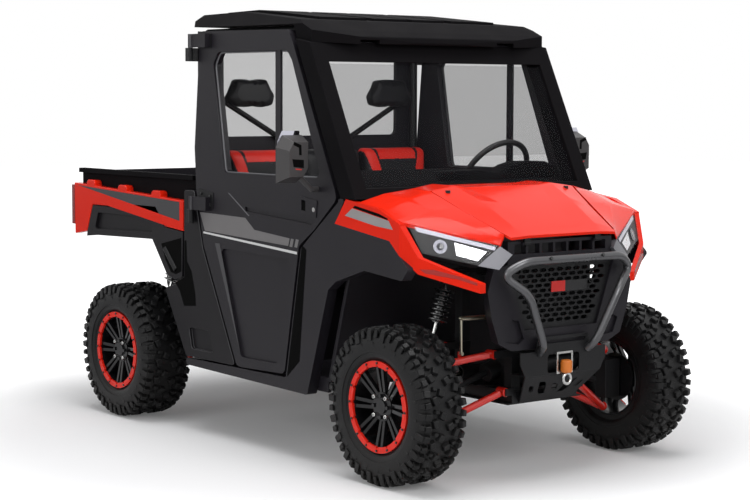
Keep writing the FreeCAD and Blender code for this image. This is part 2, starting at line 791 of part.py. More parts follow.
def wheel_set(width):
    """Tyre, rim and clamp ring of a left-hand wheel about its own centre."""
    ring = bead_ring()
    ring.translate(V(0, width / 2 * BEAD_SHARE + SEAT_GAP, 0))
    return {"tyre": tyre(width), "rim": rim(width), "bead_ring": ring}


# Running gear


def hub_face(track, width):
    """Distance from the centre plane to an upright's outer face."""
    return track / 2 - width / 2 * BEAD_SHARE + KNUCKLE_THICKNESS


def upright(x, outer):
    """Right upright with its ball studs."""
    half = KNUCKLE_HEIGHT / 2
    body = box(
        (x - KNUCKLE_WIDTH / 2, -outer, TYRE_RADIUS - half),
        (x + KNUCKLE_WIDTH / 2, -KINGPIN_HALF + KNUCKLE_THICKNESS / 2, TYRE_RADIUS + half),
    )
    reach = half + BALL_STUD_LENGTH
    centre = V(x, -KINGPIN_HALF, TYRE_RADIUS)
    return fused([body, rod(centre - UP * reach, centre + UP * reach, BALL_STUD_RADIUS)])


def front_knuckle():
    """Right steered upright with its steering arm."""
    x = FRONT_AXLE_X
    arm = box(
        (x - STEER_ARM_REACH - BALL_RADIUS, -KINGPIN_HALF - BALL_RADIUS, STEER_ARM_HEIGHT - BALL_RADIUS),
        (x, -KINGPIN_HALF + BALL_RADIUS, STEER_ARM_HEIGHT + BALL_RADIUS),
    )
    return fused([upright(x, hub_face(FRONT_TRACK, FRONT_TYRE_WIDTH)), arm])


def rear_knuckles():
    """Fixed uprights of the rear axle."""
    return pair(upright(REAR_AXLE_X, hub_face(REAR_TRACK, REAR_TYRE_WIDTH)))


def arm_tip_z(up):
    """Height of a wishbone's ball, above or below the upright."""
    reach = KNUCKLE_HEIGHT / 2 + BALL_STUD_LENGTH + BALL_HOUSING_RADIUS + BALL_GAP
    return TYRE_RADIUS + up * reach


def wishbone(axle, inner_half, inner_z, up):
    """Right wishbone: two legs from bushes on the frame to the ball housing."""
    tip = V(axle, -KINGPIN_HALF, arm_tip_z(up))
    weld = tip + UP * (up * BALL_HOUSING_RADIUS * BALL_WELD_SHARE)
    solids = [Part.makeSphere(BALL_HOUSING_RADIUS, tip)]
    bush = FORWARD * (ARM_TUBE_RADIUS * ARM_BUSH_HALF_SHARE)
    for end in ENDS:
        foot = V(axle + end * ARM_BASE / 2, -inner_half, inner_z)
        solids.append(rod(foot, weld, ARM_TUBE_RADIUS))
        solids.append(rod(foot - bush, foot + bush, ARM_TUBE_RADIUS * ARM_BUSH_SHARE))
    return solids


def shock_foot():
    """Place of the right coil-over's lower eye, above the rear leg of the upper arm."""
    share = 1 - SHOCK_OFFSET / (ARM_BASE / 2)
    y = UPPER_ARM_INNER_HALF + (KINGPIN_HALF - UPPER_ARM_INNER_HALF) * share
    z = UPPER_ARM_INNER_Z + (arm_tip_z(1) - UPPER_ARM_INNER_Z) * share
    return y, z + ARM_TUBE_RADIUS + SHOCK_RADIUS


def stabiliser_foot():
    """Place on the front upper arm's front leg where the stabiliser's link stands."""
    share = 1 - STABILISER_X_OFFSET / (ARM_BASE / 2)
    y = UPPER_ARM_INNER_HALF + (KINGPIN_HALF - UPPER_ARM_INNER_HALF) * share
    z = UPPER_ARM_INNER_Z + (arm_tip_z(1) - UPPER_ARM_INNER_Z) * share
    return V(FRONT_AXLE_X + STABILISER_X_OFFSET, -y, z)


def shock_ears(axle):
    """Two ears on the upper arm that hold the coil-over's lower eye."""
    foot_y, foot_z = shock_foot()
    ears = []
    for face in ENDS:
        near = axle - SHOCK_OFFSET + face * SHOCK_RADIUS * SHOCK_EYE_SHARE
        ears.append(
            box(
                (near, -foot_y - ARM_TUBE_RADIUS, foot_z - SHOCK_RADIUS - ARM_TUBE_RADIUS),
                (near + face * EAR_THICKNESS, -foot_y + ARM_TUBE_RADIUS, foot_z + ARM_TUBE_RADIUS),
            )
        )
    return ears


def suspension_arms():
    """Upper and lower wishbones of both axles."""
    solids = []
    for axle in (FRONT_AXLE_X, REAR_AXLE_X):
        upper = wishbone(axle, UPPER_ARM_INNER_HALF, UPPER_ARM_INNER_Z, 1) + shock_ears(axle)
        if axle == FRONT_AXLE_X:
            foot = stabiliser_foot()
            upper.append(
                box(
                    (foot.x - EAR_THICKNESS, foot.y - STABILISER_EYE / 2, foot.z),
                    (foot.x, foot.y + STABILISER_EYE / 2, foot.z + STABILISER_TAB + STABILISER_EYE / 2),
                )
            )
        solids.append(fused(wishbone(axle, LOWER_ARM_INNER_HALF, LOWER_ARM_INNER_Z, -1)))
        solids.append(fused(upper))
    return Part.makeCompound(solids + [other_side(solid) for solid in solids])


def corrugated_body(length):
    """Damper body inside its spring, hanging down from the origin, as one turned solid."""
    start, stop = [length * share for share in SHOCK_BODY_SHARES]
    pitch = (stop - start) / SPRING_TURNS
    points = [V(0, 0, -start), V(0, SHOCK_RADIUS, -start)]
    for index in range(SPRING_TURNS):
        for share, radius in zip(COIL_SHARES, (SHOCK_RADIUS, SPRING_RADIUS, SPRING_RADIUS, SHOCK_RADIUS)):
            points.append(V(0, radius, -start - (index + share) * pitch))
    points += [V(0, SHOCK_RADIUS, -stop), V(0, 0, -stop)]
    return Part.Face(Part.makePolygon(points + [points[0]])).revolve(V(0, 0, 0), UP, 360)


def coil_over(x):
    """Damper body, rods, eyes and spring coils on the right side."""
    foot_y, foot_z = shock_foot()
    top = V(x, -SHOCK_TOP_HALF, SHOCK_TOP_Z)
    foot = V(x, -foot_y, foot_z)
    length = (foot - top).Length
    axis = (foot - top) * (1 / length)
    start, stop = [length * share for share in SHOCK_BODY_SHARES]
    body = corrugated_body(length)
    body.rotate(V(0, 0, 0), FORWARD, math.degrees(math.atan2(axis.y, -axis.z)))
    body.translate(top)
    solids = [body, rod(top, top + axis * (start + OVERRUN), ROD_RADIUS)]
    solids.append(rod(top + axis * (stop - OVERRUN), foot, ROD_RADIUS))
    half = FORWARD * (SHOCK_RADIUS * SHOCK_EYE_SHARE)
    solids += [rod(spot - half, spot + half, ARM_TUBE_RADIUS) for spot in (top, foot)]
    return fused(solids)


def shocks():
    """Four coil-overs."""
    right = [coil_over(axle - SHOCK_OFFSET) for axle in (FRONT_AXLE_X, REAR_AXLE_X)]
    return Part.makeCompound(right + [other_side(shape) for shape in right])


def stabiliser():
    """Front anti-roll bar with its clamps under the frame and its two links."""
    foot = stabiliser_foot()
    low = V(foot.x + STABILISER_EYE / 2, foot.y, foot.z + STABILISER_TAB)
    beam = RING_TOP_Z - POST_SIZE
    bar_z = UPPER_ARM_INNER_Z + (beam - UPPER_ARM_INNER_Z) * STABILISER_RISE_SHARE
    high = V(low.x, low.y, bar_z)
    corner = V(low.x + STABILISER_REACH, -STABILISER_HALF, bar_z)
    solids = [bent_tube([high, corner, other_point(corner), other_point(high)], STABILISER_RADIUS)]
    eye = FORWARD * (STABILISER_EYE / 2)
    for point in (low, high):
        for spot in (point, other_point(point)):
            solids.append(rod(spot - eye, spot + eye, STABILISER_EYE / 2))
    solids.append(rod(low, high, STABILISER_LINK_RADIUS))
    solids.append(rod(other_point(low), other_point(high), STABILISER_LINK_RADIUS))
    half = STABILISER_RADIUS + EAR_THICKNESS / 2
    for side in ENDS:
        y = side * RAIL_HALF
        solids.append(box((corner.x - half, y - half, bar_z - half), (corner.x + half, y + half, beam)))
    return fused(solids)


def half_shaft(x, middle, side):
    """Half shaft with its inner boot, from the gearcase to the upright."""
    inner = V(x, side * GEARCASE_HALF, middle)
    outer = V(x, side * (KINGPIN_HALF - KNUCKLE_THICKNESS * 1.5), TYRE_RADIUS)
    along = outer - inner
    along.normalize()
    boot = rod(inner - along * OVERRUN, inner + along * CV_BOOT_LENGTH, CV_BOOT_RADIUS)
    return [rod(inner - along * CV_BOOT_RADIUS, outer, HALF_SHAFT_RADIUS), boot]


def powertrain():
    """Plain engine block, and the gearcases with their half shafts and boots."""
    front = REAR_WALL_X - ENGINE_SETBACK
    solids = [box((front - ENGINE_LENGTH, -ENGINE_HALF, FLOOR_BASE), (front, ENGINE_HALF, ENGINE_TOP))]
    for x in (FRONT_AXLE_X, REAR_AXLE_X):
        reach = RAIL_HALF + RAIL_WIDTH / 2
        case = box(
            (x - GEARCASE_LENGTH / 2, -GEARCASE_HALF, FLOOR_BASE),
            (x + GEARCASE_LENGTH / 2, GEARCASE_HALF, FLOOR_BASE + GEARCASE_HEIGHT),
        )
        foot = box(
            (x - GEARCASE_LENGTH / 4, -reach, FLOOR_BASE),
            (x + GEARCASE_LENGTH / 4, reach, FLOOR_BASE + EAR_THICKNESS),
        )
        shafts = [foot]
        for side in ENDS:
            shafts += half_shaft(x, FLOOR_BASE + GEARCASE_HEIGHT / 2, side)
        solids.append(fused([case] + shafts))
    return Part.makeCompound(solids)


def tie_rod_z():
    """Height of the tie rods: a ball's radius above the steering arms."""
    return STEER_ARM_HEIGHT + BALL_RADIUS * 2 + BALL_GAP


def steering_rack():
    """Rack housing with open boots and brackets on the front posts."""
    x = FRONT_AXLE_X - STEER_ARM_REACH
    z = tie_rod_z()
    end = RACK_HALF - RACK_BOOT_LENGTH
    solids = [rod(V(x, -end, z), V(x, end, z), RACK_BOOT_RADIUS)]
    post_face = FRONT_AXLE_X - ARM_BASE / 2 + POST_SIZE / 2
    half = POST_SIZE / 2
    for side in ENDS:
        start = V(x, side * end, z)
        boot = rod(start, V(x, side * RACK_HALF, z), RACK_BOOT_RADIUS)
        hole = rod(start, V(x, side * (RACK_HALF + OVERRUN), z), RACK_BOOT_RADIUS - RACK_BOOT_WALL)
        solids.append(boot.cut(hole))
        y = side * RAIL_HALF
        solids.append(box((post_face, y - half, z - BALL_RADIUS), (x, y + half, z + BALL_RADIUS)))
    return fused(solids)


def tie_rod():
    """Right tie rod from the ball on the steering arm into the rack's boot."""
    ball = V(FRONT_AXLE_X - STEER_ARM_REACH, -KINGPIN_HALF, tie_rod_z())
    inner = V(ball.x, -RACK_HALF + SHUT_GAP, ball.z)
    return fused([Part.makeSphere(BALL_RADIUS, ball), rod(ball, inner, TIE_ROD_RADIUS)])


# Frame


def arm_ears(x, side):
    """Ears beside a post that hold the bushes of the lower and upper arms."""
    ears = []
    for inner_half, z in (
        (LOWER_ARM_INNER_HALF, LOWER_ARM_INNER_Z),
        (UPPER_ARM_INNER_HALF, UPPER_ARM_INNER_Z),
    ):
        inner = side * (RAIL_HALF - POST_SIZE / 2)
        outer = side * (inner_half + ARM_TUBE_RADIUS / 2)
        for face in ENDS:
            near = x + face * ARM_TUBE_RADIUS * ARM_BUSH_HALF_SHARE
            far = near + face * EAR_THICKNESS
            ears.append(box((near, inner, z - ARM_TUBE_RADIUS), (far, outer, z + ARM_TUBE_RADIUS)))
    return ears


def axle_cage(axle):
    """Four posts with their ears, joined by an upper ring, round one axle."""
    post = POST_SIZE / 2
    low = RING_TOP_Z - POST_SIZE
    solids = []
    for end in ENDS:
        x = axle + end * ARM_BASE / 2
        solids.append(box((x - post, -RAIL_HALF, low), (x + post, RAIL_HALF, RING_TOP_Z)))
        for side in ENDS:
            y = side * RAIL_HALF
            foot = RAIL_BASE + RAIL_HEIGHT / 2
            solids.append(box((x - post, y - post, foot), (x + post, y + post, RING_TOP_Z)))
            solids += arm_ears(x, side)
    for side in ENDS:
        y = side * RAIL_HALF
        reach = ARM_BASE / 2
        solids.append(box((axle - reach, y - post, low), (axle + reach, y + post, RING_TOP_Z)))
    return solids


def shock_towers(axle):
    """Cross bar with two pairs of ears at the tops of the coil-overs."""
    x = axle - SHOCK_OFFSET
    post = POST_SIZE / 2
    reach = SHOCK_TOP_HALF + SHOCK_RADIUS
    inner = RAIL_HALF + post
    bar_low = SHOCK_TOP_Z + SHOCK_RADIUS + OVERRUN
    bar_top = SHOCK_TOP_Z + SHOCK_RADIUS + post
    solids = [
        box((x - post, -reach, bar_low), (x + post, reach, bar_top)),
        box((x - post, -inner, RING_TOP_Z - POST_SIZE), (x + post, inner, bar_top)),
    ]
    for side in ENDS:
        y = side * SHOCK_TOP_HALF
        for face in ENDS:
            near = x + face * SHOCK_RADIUS * SHOCK_EYE_SHARE
            far = near + face * EAR_THICKNESS
            solids.append(
                box(
                    (near, y - SHOCK_RADIUS, SHOCK_TOP_Z - ARM_TUBE_RADIUS),
                    (far, y + SHOCK_RADIUS, bar_low + OVERRUN),
                )
            )
    return solids


def frame():
    """Rails, cross members, suspension posts with pivot ears, the upper ring and the bed's pivot."""
    half = RAIL_WIDTH / 2
    post = POST_SIZE / 2
    rail_top = RAIL_BASE + RAIL_HEIGHT
    solids = []
    for side in ENDS:
        y = side * RAIL_HALF
        solids.append(box((FRAME_REAR_X, y - half, RAIL_BASE), (FRAME_FRONT_X, y + half, rail_top)))
        pivot = V(BED_PIVOT_X, y, BED_PIVOT_Z)
        end = SIDEWAYS * post
        arm = box((BED_PIVOT_X, y - post, BED_PIVOT_Z - post), (REAR_AXLE_X, y + post, BED_PIVOT_Z + post))
        solids += [arm, rod(pivot - end, pivot + end, post)]
    for x in (FRAME_REAR_X, REAR_WALL_X, SEAT_BASE_FRONT_X, FRAME_FRONT_X - RAIL_WIDTH):
        solids.append(box((x, -RAIL_HALF, RAIL_BASE), (x + RAIL_WIDTH, RAIL_HALF, rail_top)))
    for axle in (FRONT_AXLE_X, REAR_AXLE_X):
        solids += axle_cage(axle) + shock_towers(axle)
    pivot = V(BED_PIVOT_X, -RAIL_HALF - POST_SIZE * 1.5, BED_PIVOT_Z)
    solids.append(rod(pivot, other_point(pivot), PIVOT_RADIUS))
    return fused(solids)


def skid_plate():
    """Belly sheet under the rails."""
    return box(
        (REAR_AXLE_X + ARM_BASE, -RAIL_HALF - RAIL_WIDTH, RAIL_BASE - SKID_THICKNESS),
        (FRAME_FRONT_X, RAIL_HALF + RAIL_WIDTH, RAIL_BASE),
    )


def hitch():
    """Square receiver with a cross pin hole."""
    half = RECEIVER_OUTER / 2
    bore = RECEIVER_INNER / 2
    middle = FLOOR_BASE + half
    rear = FRAME_REAR_X - RECEIVER_LENGTH / 2
    front = rear + RECEIVER_LENGTH
    outer = box((rear, -half, middle - half), (front, half, middle + half))
    inner = box((rear - OVERRUN, -bore, middle - bore), (front + OVERRUN, bore, middle + bore))
    pin = V(rear + RECEIVER_OUTER, -half - OVERRUN, middle)
    return outer.cut(inner).cut(rod(pin, other_point(pin), RECEIVER_PIN_RADIUS))


def muffler():
    """Silencer hung under the rear of the frame."""
    x = FRAME_REAR_X - MUFFLER_RADIUS / 2
    z = (RAIL_BASE + RAIL_HEIGHT + RECEIVER_OUTER + BED_PIVOT_Z) / 2
    half = POST_SIZE / 2
    solids = [rod(V(x, -MUFFLER_HALF, z), V(x, MUFFLER_HALF, z), MUFFLER_RADIUS)]
    for side in ENDS:
        y = side * RAIL_HALF
        foot = z + MUFFLER_RADIUS / 2
        solids.append(box((x - half, y - half, foot), (x + half, y + half, BED_PIVOT_Z - half)))
    return fused(solids)


# Cab


def floor_pan():
    """Floor, side flanges, fire wall and seat box in one moulding."""
    half = CAB_HALF_WIDTH - PANEL_THICKNESS - SEAT_GAP
    t = FLOOR_THICKNESS
    top = FLOOR_BASE + t
    seat_top = top + SEAT_BASE_HEIGHT
    toe = FIREWALL_X - TOE_SETBACK
    profile = [
        V(REAR_WALL_X, -half, FLOOR_BASE),
        V(toe, -half, FLOOR_BASE),
        V(FIREWALL_X, -half, FIREWALL_TOP),
        V(FIREWALL_X - t, -half, FIREWALL_TOP),
        V(toe - t, -half, top),
        V(SEAT_BASE_FRONT_X, -half, top),
        V(SEAT_BASE_FRONT_X, -half, seat_top),
        V(REAR_WALL_X, -half, seat_top),
    ]
    body = plate(profile, SIDEWAYS * (2 * half))
    hollow = box(
        (REAR_WALL_X - OVERRUN, -half + t, top),
        (SEAT_BASE_FRONT_X - t, half - t, seat_top - t),
    )
    solids = [body.cut(hollow)]
    for side in ENDS:
        solids.append(
            box((REAR_WALL_X, side * (half - t), RAIL_BASE), (toe - t, side * half, FLOOR_BASE + OVERRUN))
        )
    return fused(solids)


def side_panels():
    """Sill, cowl side and front wheel arch on each side, cut where the fender stands on it."""
    inner = CAB_HALF_WIDTH - PANEL_THICKNESS
    panel = side_plate(SIDE_PANEL_SHARES, inner, CAB_HALF_WIDTH, PANEL_CORNER)
    seat = side_plate(FENDER_SHARES, inner, CAB_HALF_WIDTH)
    return pair(panel.cut(seat).cut(station_loft(FENDER_TIP_SHARES)))


def rear_quarters():
    """Body corner behind each door, with its pressed pocket."""
    inner = CAB_HALF_WIDTH - QUARTER_THICKNESS
    panel = side_plate(QUARTER_SHARES, inner, CAB_HALF_WIDTH, PANEL_CORNER)
    outer = CAB_HALF_WIDTH + OVERRUN
    pocket = side_plate(QUARTER_POCKET_SHARES, CAB_HALF_WIDTH - POCKET_DEPTH, outer, PANEL_CORNER)
    return pair(panel.cut(pocket))


def rear_wall():
    """Cab rear wall with its window opening."""
    half = CAB_HALF_WIDTH - QUARTER_THICKNESS - SEAT_GAP
    rear = REAR_WALL_X - REAR_WALL_THICKNESS
    window = side_rounded_hole(rear - OVERRUN, REAR_WALL_X + OVERRUN)
    return box((rear, -half, FLOOR_BASE), (REAR_WALL_X, half, REAR_WALL_TOP)).cut(window)


def side_rounded_hole(rear, front):
    """The rear window's outline with round corners, between two places along."""
    corners = [
        V(rear, -REAR_WINDOW_HALF, REAR_WINDOW_BASE),
        V(rear, REAR_WINDOW_HALF, REAR_WINDOW_BASE),
        V(rear, REAR_WINDOW_HALF, REAR_WINDOW_TOP),
        V(rear, -REAR_WINDOW_HALF, REAR_WINDOW_TOP),
    ]
    return plate(corners, FORWARD * (front - rear), DOOR_CORNER)


def screen_line(share):
    """A point on the windscreen's line: 0 at the roof end, 1 at the cowl end."""
    top, low = side_points(PILLAR_SHARES[1:3])
    return top + (low - top) * share


def windscreen():
    """Glass sheet in the windscreen's plane, set back from the pillars' front."""
    top, low = [screen_line(share) for share in SCREEN_SHARES]
    run = low - top
    back = V(run.z, 0, -run.x)
    back.normalize()
    near = back * GLASS_INSET
    far = back * (GLASS_INSET + GLASS_THICKNESS)
    corners = [top + near, low + near, low + far, top + far]
    return plate([point - SIDEWAYS * WIND_HALF for point in corners], SIDEWAYS * (2 * WIND_HALF))


def glazing():
    """Windscreen and rear window."""
    middle = REAR_WALL_X - REAR_WALL_THICKNESS / 2
    return Part.makeCompound([windscreen(), side_rounded_hole(middle - GLASS_THICKNESS, middle)])


def windscreen_frame():
    """Front pillars, header and sill."""
    pillar = side_plate(PILLAR_SHARES, WIND_HALF, CAB_HALF_WIDTH)
    header_low, sill_top = [screen_line(share) for share in SCREEN_BAR_SHARES]
    depth = FORWARD * HEADER_DEPTH
    half = WIND_HALF + OVERRUN
    bars = []
    for high, low in ((screen_line(0), header_low), (sill_top, screen_line(1))):
        points = [high, low, low - depth, high - depth]
        bars.append(plate([point - SIDEWAYS * half for point in points], SIDEWAYS * (2 * half)))
    return fused([pillar, other_side(pillar)] + bars)


def roof_rib(low_share, high_share):
    """Raised rib along the roof between two distances out, following the roof's top."""
    ends = [V(REAR_AXLE_X + WHEELBASE * share, 0, 0) for share in ROOF_RIB_ENDS]
    line = side_points(ROOF_SHARES[2:6])
    rise = UP * ROOF_RIB_HEIGHT
    top = [point + rise for point in line]
    outline = top + [point - rise for point in reversed(line)]
    rib = plate([point - SIDEWAYS * (CAB_HALF_WIDTH * high_share) for point in outline],
                SIDEWAYS * (CAB_HALF_WIDTH * (high_share - low_share)))
    keep = [
        V(ends[0].x, 0, CAB_HEIGHT - PILLAR_DEPTH * 2),
        V(ends[1].x, 0, CAB_HEIGHT - PILLAR_DEPTH * 2),
        V(ends[1].x - ROOF_RIB_HEIGHT * 2, 0, CAB_HEIGHT + PILLAR_DEPTH),
        V(ends[0].x + ROOF_RIB_HEIGHT * 2, 0, CAB_HEIGHT + PILLAR_DEPTH),
    ]
    keep = plate([point - SIDEWAYS * CAB_HALF_WIDTH for point in keep], SIDEWAYS * (2 * CAB_HALF_WIDTH))
    return rib.common(keep)


def roof():
    """Roof moulding: side outline, chamfered edges, tapered plan, ribs and two front notches."""
    body = plate(side_points(ROOF_SHARES, -ROOF_HALF), SIDEWAYS * (2 * ROOF_HALF), PANEL_CORNER)
    ribs = []
    for low, high in ROOF_RIB_SHARES:
        rib = roof_rib(low, high)
        ribs += [rib, other_side(rib)]
    edge = CAB_HEIGHT - ROOF_CHAMFER
    section = [
        V(REAR_X, -CAB_HALF_WIDTH, 0),
        V(REAR_X, -CAB_HALF_WIDTH, edge),
        V(REAR_X, -CAB_HALF_WIDTH + ROOF_CHAMFER, CAB_HEIGHT),
        V(REAR_X, -CAB_HALF_WIDTH + ROOF_CHAMFER, CAB_HEIGHT + ROOF_CHAMFER),
    ]
    body = body.common(plate(mirrored_loop(section), FORWARD * LENGTH))
    plan = [V(REAR_AXLE_X + WHEELBASE * u, -CAB_HALF_WIDTH * v, 0) for u, v in ROOF_PLAN_SHARES]
    body = body.common(plate(mirrored_loop(plan), UP * (CAB_HEIGHT + ROOF_CHAMFER)))
    low, high = [CAB_HEIGHT * share for share in ROOF_NOTCH_UPS]
    notch = plate(
        [V(REAR_AXLE_X + WHEELBASE * u, -CAB_HALF_WIDTH * v, low) for u, v in ROOF_NOTCH_SHARES],
        UP * (high - low),
    )
    return fused([body] + ribs).cut(pair(notch))


def cage():
    """Rear hoop, roof rails and the headrests' diagonal braces."""
    rear_x = REAR_WALL_X + CAGE_TUBE_RADIUS + SEAT_GAP
    underside = side_points(ROOF_SHARES[8:9])[0]
    top_z = underside.z - CAGE_TUBE_RADIUS - SEAT_GAP
    front_x = underside.x - CAGE_TUBE_RADIUS * 2
    floor = FLOOR_BASE + FLOOR_THICKNESS + SEAT_BASE_HEIGHT
    hoop = [V(rear_x, -CAGE_HALF, floor), V(rear_x, -CAGE_HALF, top_z)]
    rails = [V(rear_x, -CAGE_HALF, top_z), V(front_x, -CAGE_HALF, top_z)]
    brace_low = V(rear_x, 0, REAR_WINDOW_BASE - BRACE_DROP)
    solids = [bent_tube(mirrored_loop(line), CAGE_TUBE_RADIUS) for line in (hoop, rails)]
    for side in ENDS:
        solids.append(rod(V(rear_x, side * CAGE_HALF, HEADREST_Z), brace_low, BRACE_RADIUS))
    return fused(solids)


# Doors


def hinge_z(centre_z):
    """Heights where a hinge starts, changes barrel and ends."""
    return centre_z - HINGE_LENGTH / 2, centre_z, centre_z + HINGE_LENGTH / 2


def hinge_brackets():
    """Fixed leaves with their pins on the cab's rear corners."""
    solids = []
    rear = REAR_WALL_X - REAR_WALL_THICKNESS
    leaf_y = HINGE_Y + HINGE_LEAF / 2
    for centre_z, seat_y in (
        (UPPER_HINGE_Z, CAB_HALF_WIDTH - QUARTER_THICKNESS - SEAT_GAP),
        (LOWER_HINGE_Z, CAB_HALF_WIDTH),
    ):
        low, mid, high = hinge_z(centre_z)
        pin = V(HINGE_X, -HINGE_Y, low)
        top = mid - SEAT_GAP
        solids.append(
            fused(
                [
                    Part.makeCylinder(HINGE_PIN_RADIUS * HINGE_BARREL_SHARE, top - low, pin, UP),
                    Part.makeCylinder(HINGE_PIN_RADIUS, high - low - HINGE_LEAF, pin, UP),
                    box((rear, -leaf_y, low), (HINGE_X - HINGE_PIN_RADIUS, -leaf_y + HINGE_LEAF, top)),
                    box((rear, -leaf_y, low), (rear + HINGE_LEAF * 2, -seat_y, top)),
                ]
            )
        )
    return Part.makeCompound(solids + [other_side(solid) for solid in solids])


def door_hinge(centre_z):
    """Door's half of a hinge: bored barrel, leaf and web to the door's face."""
    low, mid, high = hinge_z(centre_z)
    start = V(HINGE_X, -HINGE_Y, mid)
    leaf_y = HINGE_Y + HINGE_LEAF / 2
    end = HINGE_X + HINGE_LENGTH
    solids = [
        Part.makeCylinder(HINGE_PIN_RADIUS * HINGE_BARREL_SHARE, high - mid, start, UP),
        box((HINGE_X, -leaf_y, mid), (end, -leaf_y + HINGE_LEAF, high)),
        box(
            (end - HINGE_LENGTH * (1 - HINGE_WEB_SHARE), -HINGE_Y, mid),
            (end, HINGE_LEAF - CAB_HALF_WIDTH, high),
        ),
    ]
    return fused(solids).cut(Part.makeCylinder(HINGE_PIN_RADIUS + PIVOT_FIT, high - mid, start, UP))


def door_panel():
    """Right door: full thickness, window with its divider, recess, groove, handle and hinges."""
    inner = CAB_HALF_WIDTH - DOOR_THICKNESS
    outer = CAB_HALF_WIDTH + OVERRUN
    door = side_plate(DOOR_SHARES, inner, CAB_HALF_WIDTH, DOOR_CORNER)
    handle = side_plate(HANDLE_SHARES, CAB_HALF_WIDTH - OVERRUN, CAB_HALF_WIDTH + HANDLE_HEIGHT)
    slot_floor = CAB_HALF_WIDTH - HANDLE_SLOT_DEPTH
    cuts = [
        side_plate(WINDOW_SHARES, inner - OVERRUN, outer, DOOR_CORNER),
        side_plate(DOOR_RECESS_SHARES, CAB_HALF_WIDTH - RECESS_DEPTH, outer, DOOR_CORNER),
        side_plate(DOOR_GROOVE_SHARES, CAB_HALF_WIDTH - GROOVE_DEPTH, outer),
    ]
    door = door.cut(Part.makeCompound(cuts[:1])).cut(Part.makeCompound(cuts[1:]))
    middle = REAR_AXLE_X + WHEELBASE * DIVIDER_SHARE
    glass_y = CAB_HALF_WIDTH - DOOR_THICKNESS / 2 + GLASS_THICKNESS + SEAT_GAP
    low = CAB_HEIGHT * WINDOW_SHARES[2][1] - OVERRUN
    high = CAB_HEIGHT * WINDOW_SHARES[0][1] + OVERRUN
    divider = box((middle, -glass_y - DIVIDER_DEPTH, low), (middle + DIVIDER_WIDTH, -glass_y, high))
    hinges = [door_hinge(centre_z) for centre_z in (UPPER_HINGE_Z, LOWER_HINGE_Z)]
    return fused([door, handle, divider] + hinges).cut(side_plate(HANDLE_SLOT_SHARES, slot_floor, outer))


def door_glass():
    """Right door's window pane."""
    middle = CAB_HALF_WIDTH - DOOR_THICKNESS / 2
    return side_plate(WINDOW_SHARES, middle, middle + GLASS_THICKNESS, DOOR_CORNER)


def mirror():
    """Right mirror: tapered six-sided housing on an arm from the door."""
    centre_y = -(CAB_HALF_WIDTH + MIRROR_STANDOFF + MIRROR_WIDTH / 2)
    outlines = []
    for x, share in ((MIRROR_REAR_X, 1.0), (MIRROR_REAR_X + MIRROR_THICKNESS, MIRROR_TAPER_SHARE)):
        half = MIRROR_WIDTH / 2 * share
        rise = MIRROR_HEIGHT / 2 * share
        upper = [(-half, rise / 2), (-half / 2, rise), (half, rise)]
        loop = upper + [(-across, -up) for across, up in upper]
        outlines.append([V(x, centre_y + y, MIRROR_CENTRE_Z + z) for y, z in loop])
    housing = flat_sided(outlines[0], outlines[1])
    x = MIRROR_REAR_X + MIRROR_THICKNESS / 3
    low = MIRROR_CENTRE_Z - MIRROR_HEIGHT / 2
    foot = V(x, -CAB_HALF_WIDTH, low - MIRROR_ARM_RISE / 2)
    bend = V(x, -CAB_HALF_WIDTH - MIRROR_STANDOFF / 2, low - MIRROR_ARM_RISE / 2)
    head = V(x, centre_y, low + MIRROR_ARM_RISE)
    return fused([housing, bent_tube([foot, bend, head], MIRROR_ARM_RADIUS)])


# Inside the cab


def steering_axis():
    """Unit vector up the steering column."""
    tilt = math.radians(STEERING_TILT)
    return V(-math.cos(tilt), 0, math.sin(tilt))


def dashboard():
    """Dash moulding with the steering column."""
    dash = plate(side_points(DASH_SHARES, -DASH_HALF), SIDEWAYS * (2 * DASH_HALF), PANEL_CORNER)
    top = V(STEERING_X, STEERING_Y, STEERING_Z) - steering_axis() * (STEER_HUB_LENGTH + SEAT_GAP)
    return fused([dash, rod(top, top - steering_axis() * COLUMN_LENGTH, COLUMN_RADIUS)])


def steering_wheel():
    """Rim, three spokes and hub."""
    centre = V(STEERING_X, STEERING_Y, STEERING_Z)
    axis = steering_axis()
    down = V(-axis.z, 0, axis.x)
    solids = [
        Part.makeTorus(STEERING_RADIUS, STEERING_GRIP, centre, axis),
        rod(centre - axis * STEER_HUB_LENGTH, centre, STEER_HUB_RADIUS),
    ]
    for degrees in (0, 90, 180):
        turn = math.radians(degrees)
        reach = down * math.sin(turn) + SIDEWAYS * math.cos(turn)
        radius = STEERING_GRIP * STEERING_SPOKE_SHARE
        solids.append(rod(centre - axis * STEERING_GRIP, centre + reach * STEERING_RADIUS, radius))
    return fused(solids)


def seat_spans():
    """Side limits of the two seats and the centre seat."""
    return (
        (-SEAT_OUTER, -SEAT_INNER),
        (-SEAT_INNER + SHUT_GAP, SEAT_INNER - SHUT_GAP),
        (SEAT_INNER, SEAT_OUTER),
    )


def seats():
    """Cushions and leaning backs of the three seats."""
    base = FLOOR_BASE + FLOOR_THICKNESS + SEAT_BASE_HEIGHT + SEAT_GAP
    rear = REAR_WALL_X + SEAT_SETBACK
    foot = rear + BACK_LEAN
    solids = []
    for low, high in seat_spans():
        cushion = box(
            (foot + BACK_THICKNESS, low, base),
            (SEAT_BASE_FRONT_X + SEAT_NOSE, high, base + CUSHION_HEIGHT),
        )
        back = [
            V(foot - SEAT_GAP, low, base),
            V(foot + BACK_THICKNESS - SEAT_GAP, low, base),
            V(rear + BACK_THICKNESS, low, SEAT_TOP_Z),
            V(rear, low, SEAT_TOP_Z),
        ]
        solids += [cushion, plate(back, SIDEWAYS * (high - low))]
    return Part.makeCompound(solids)


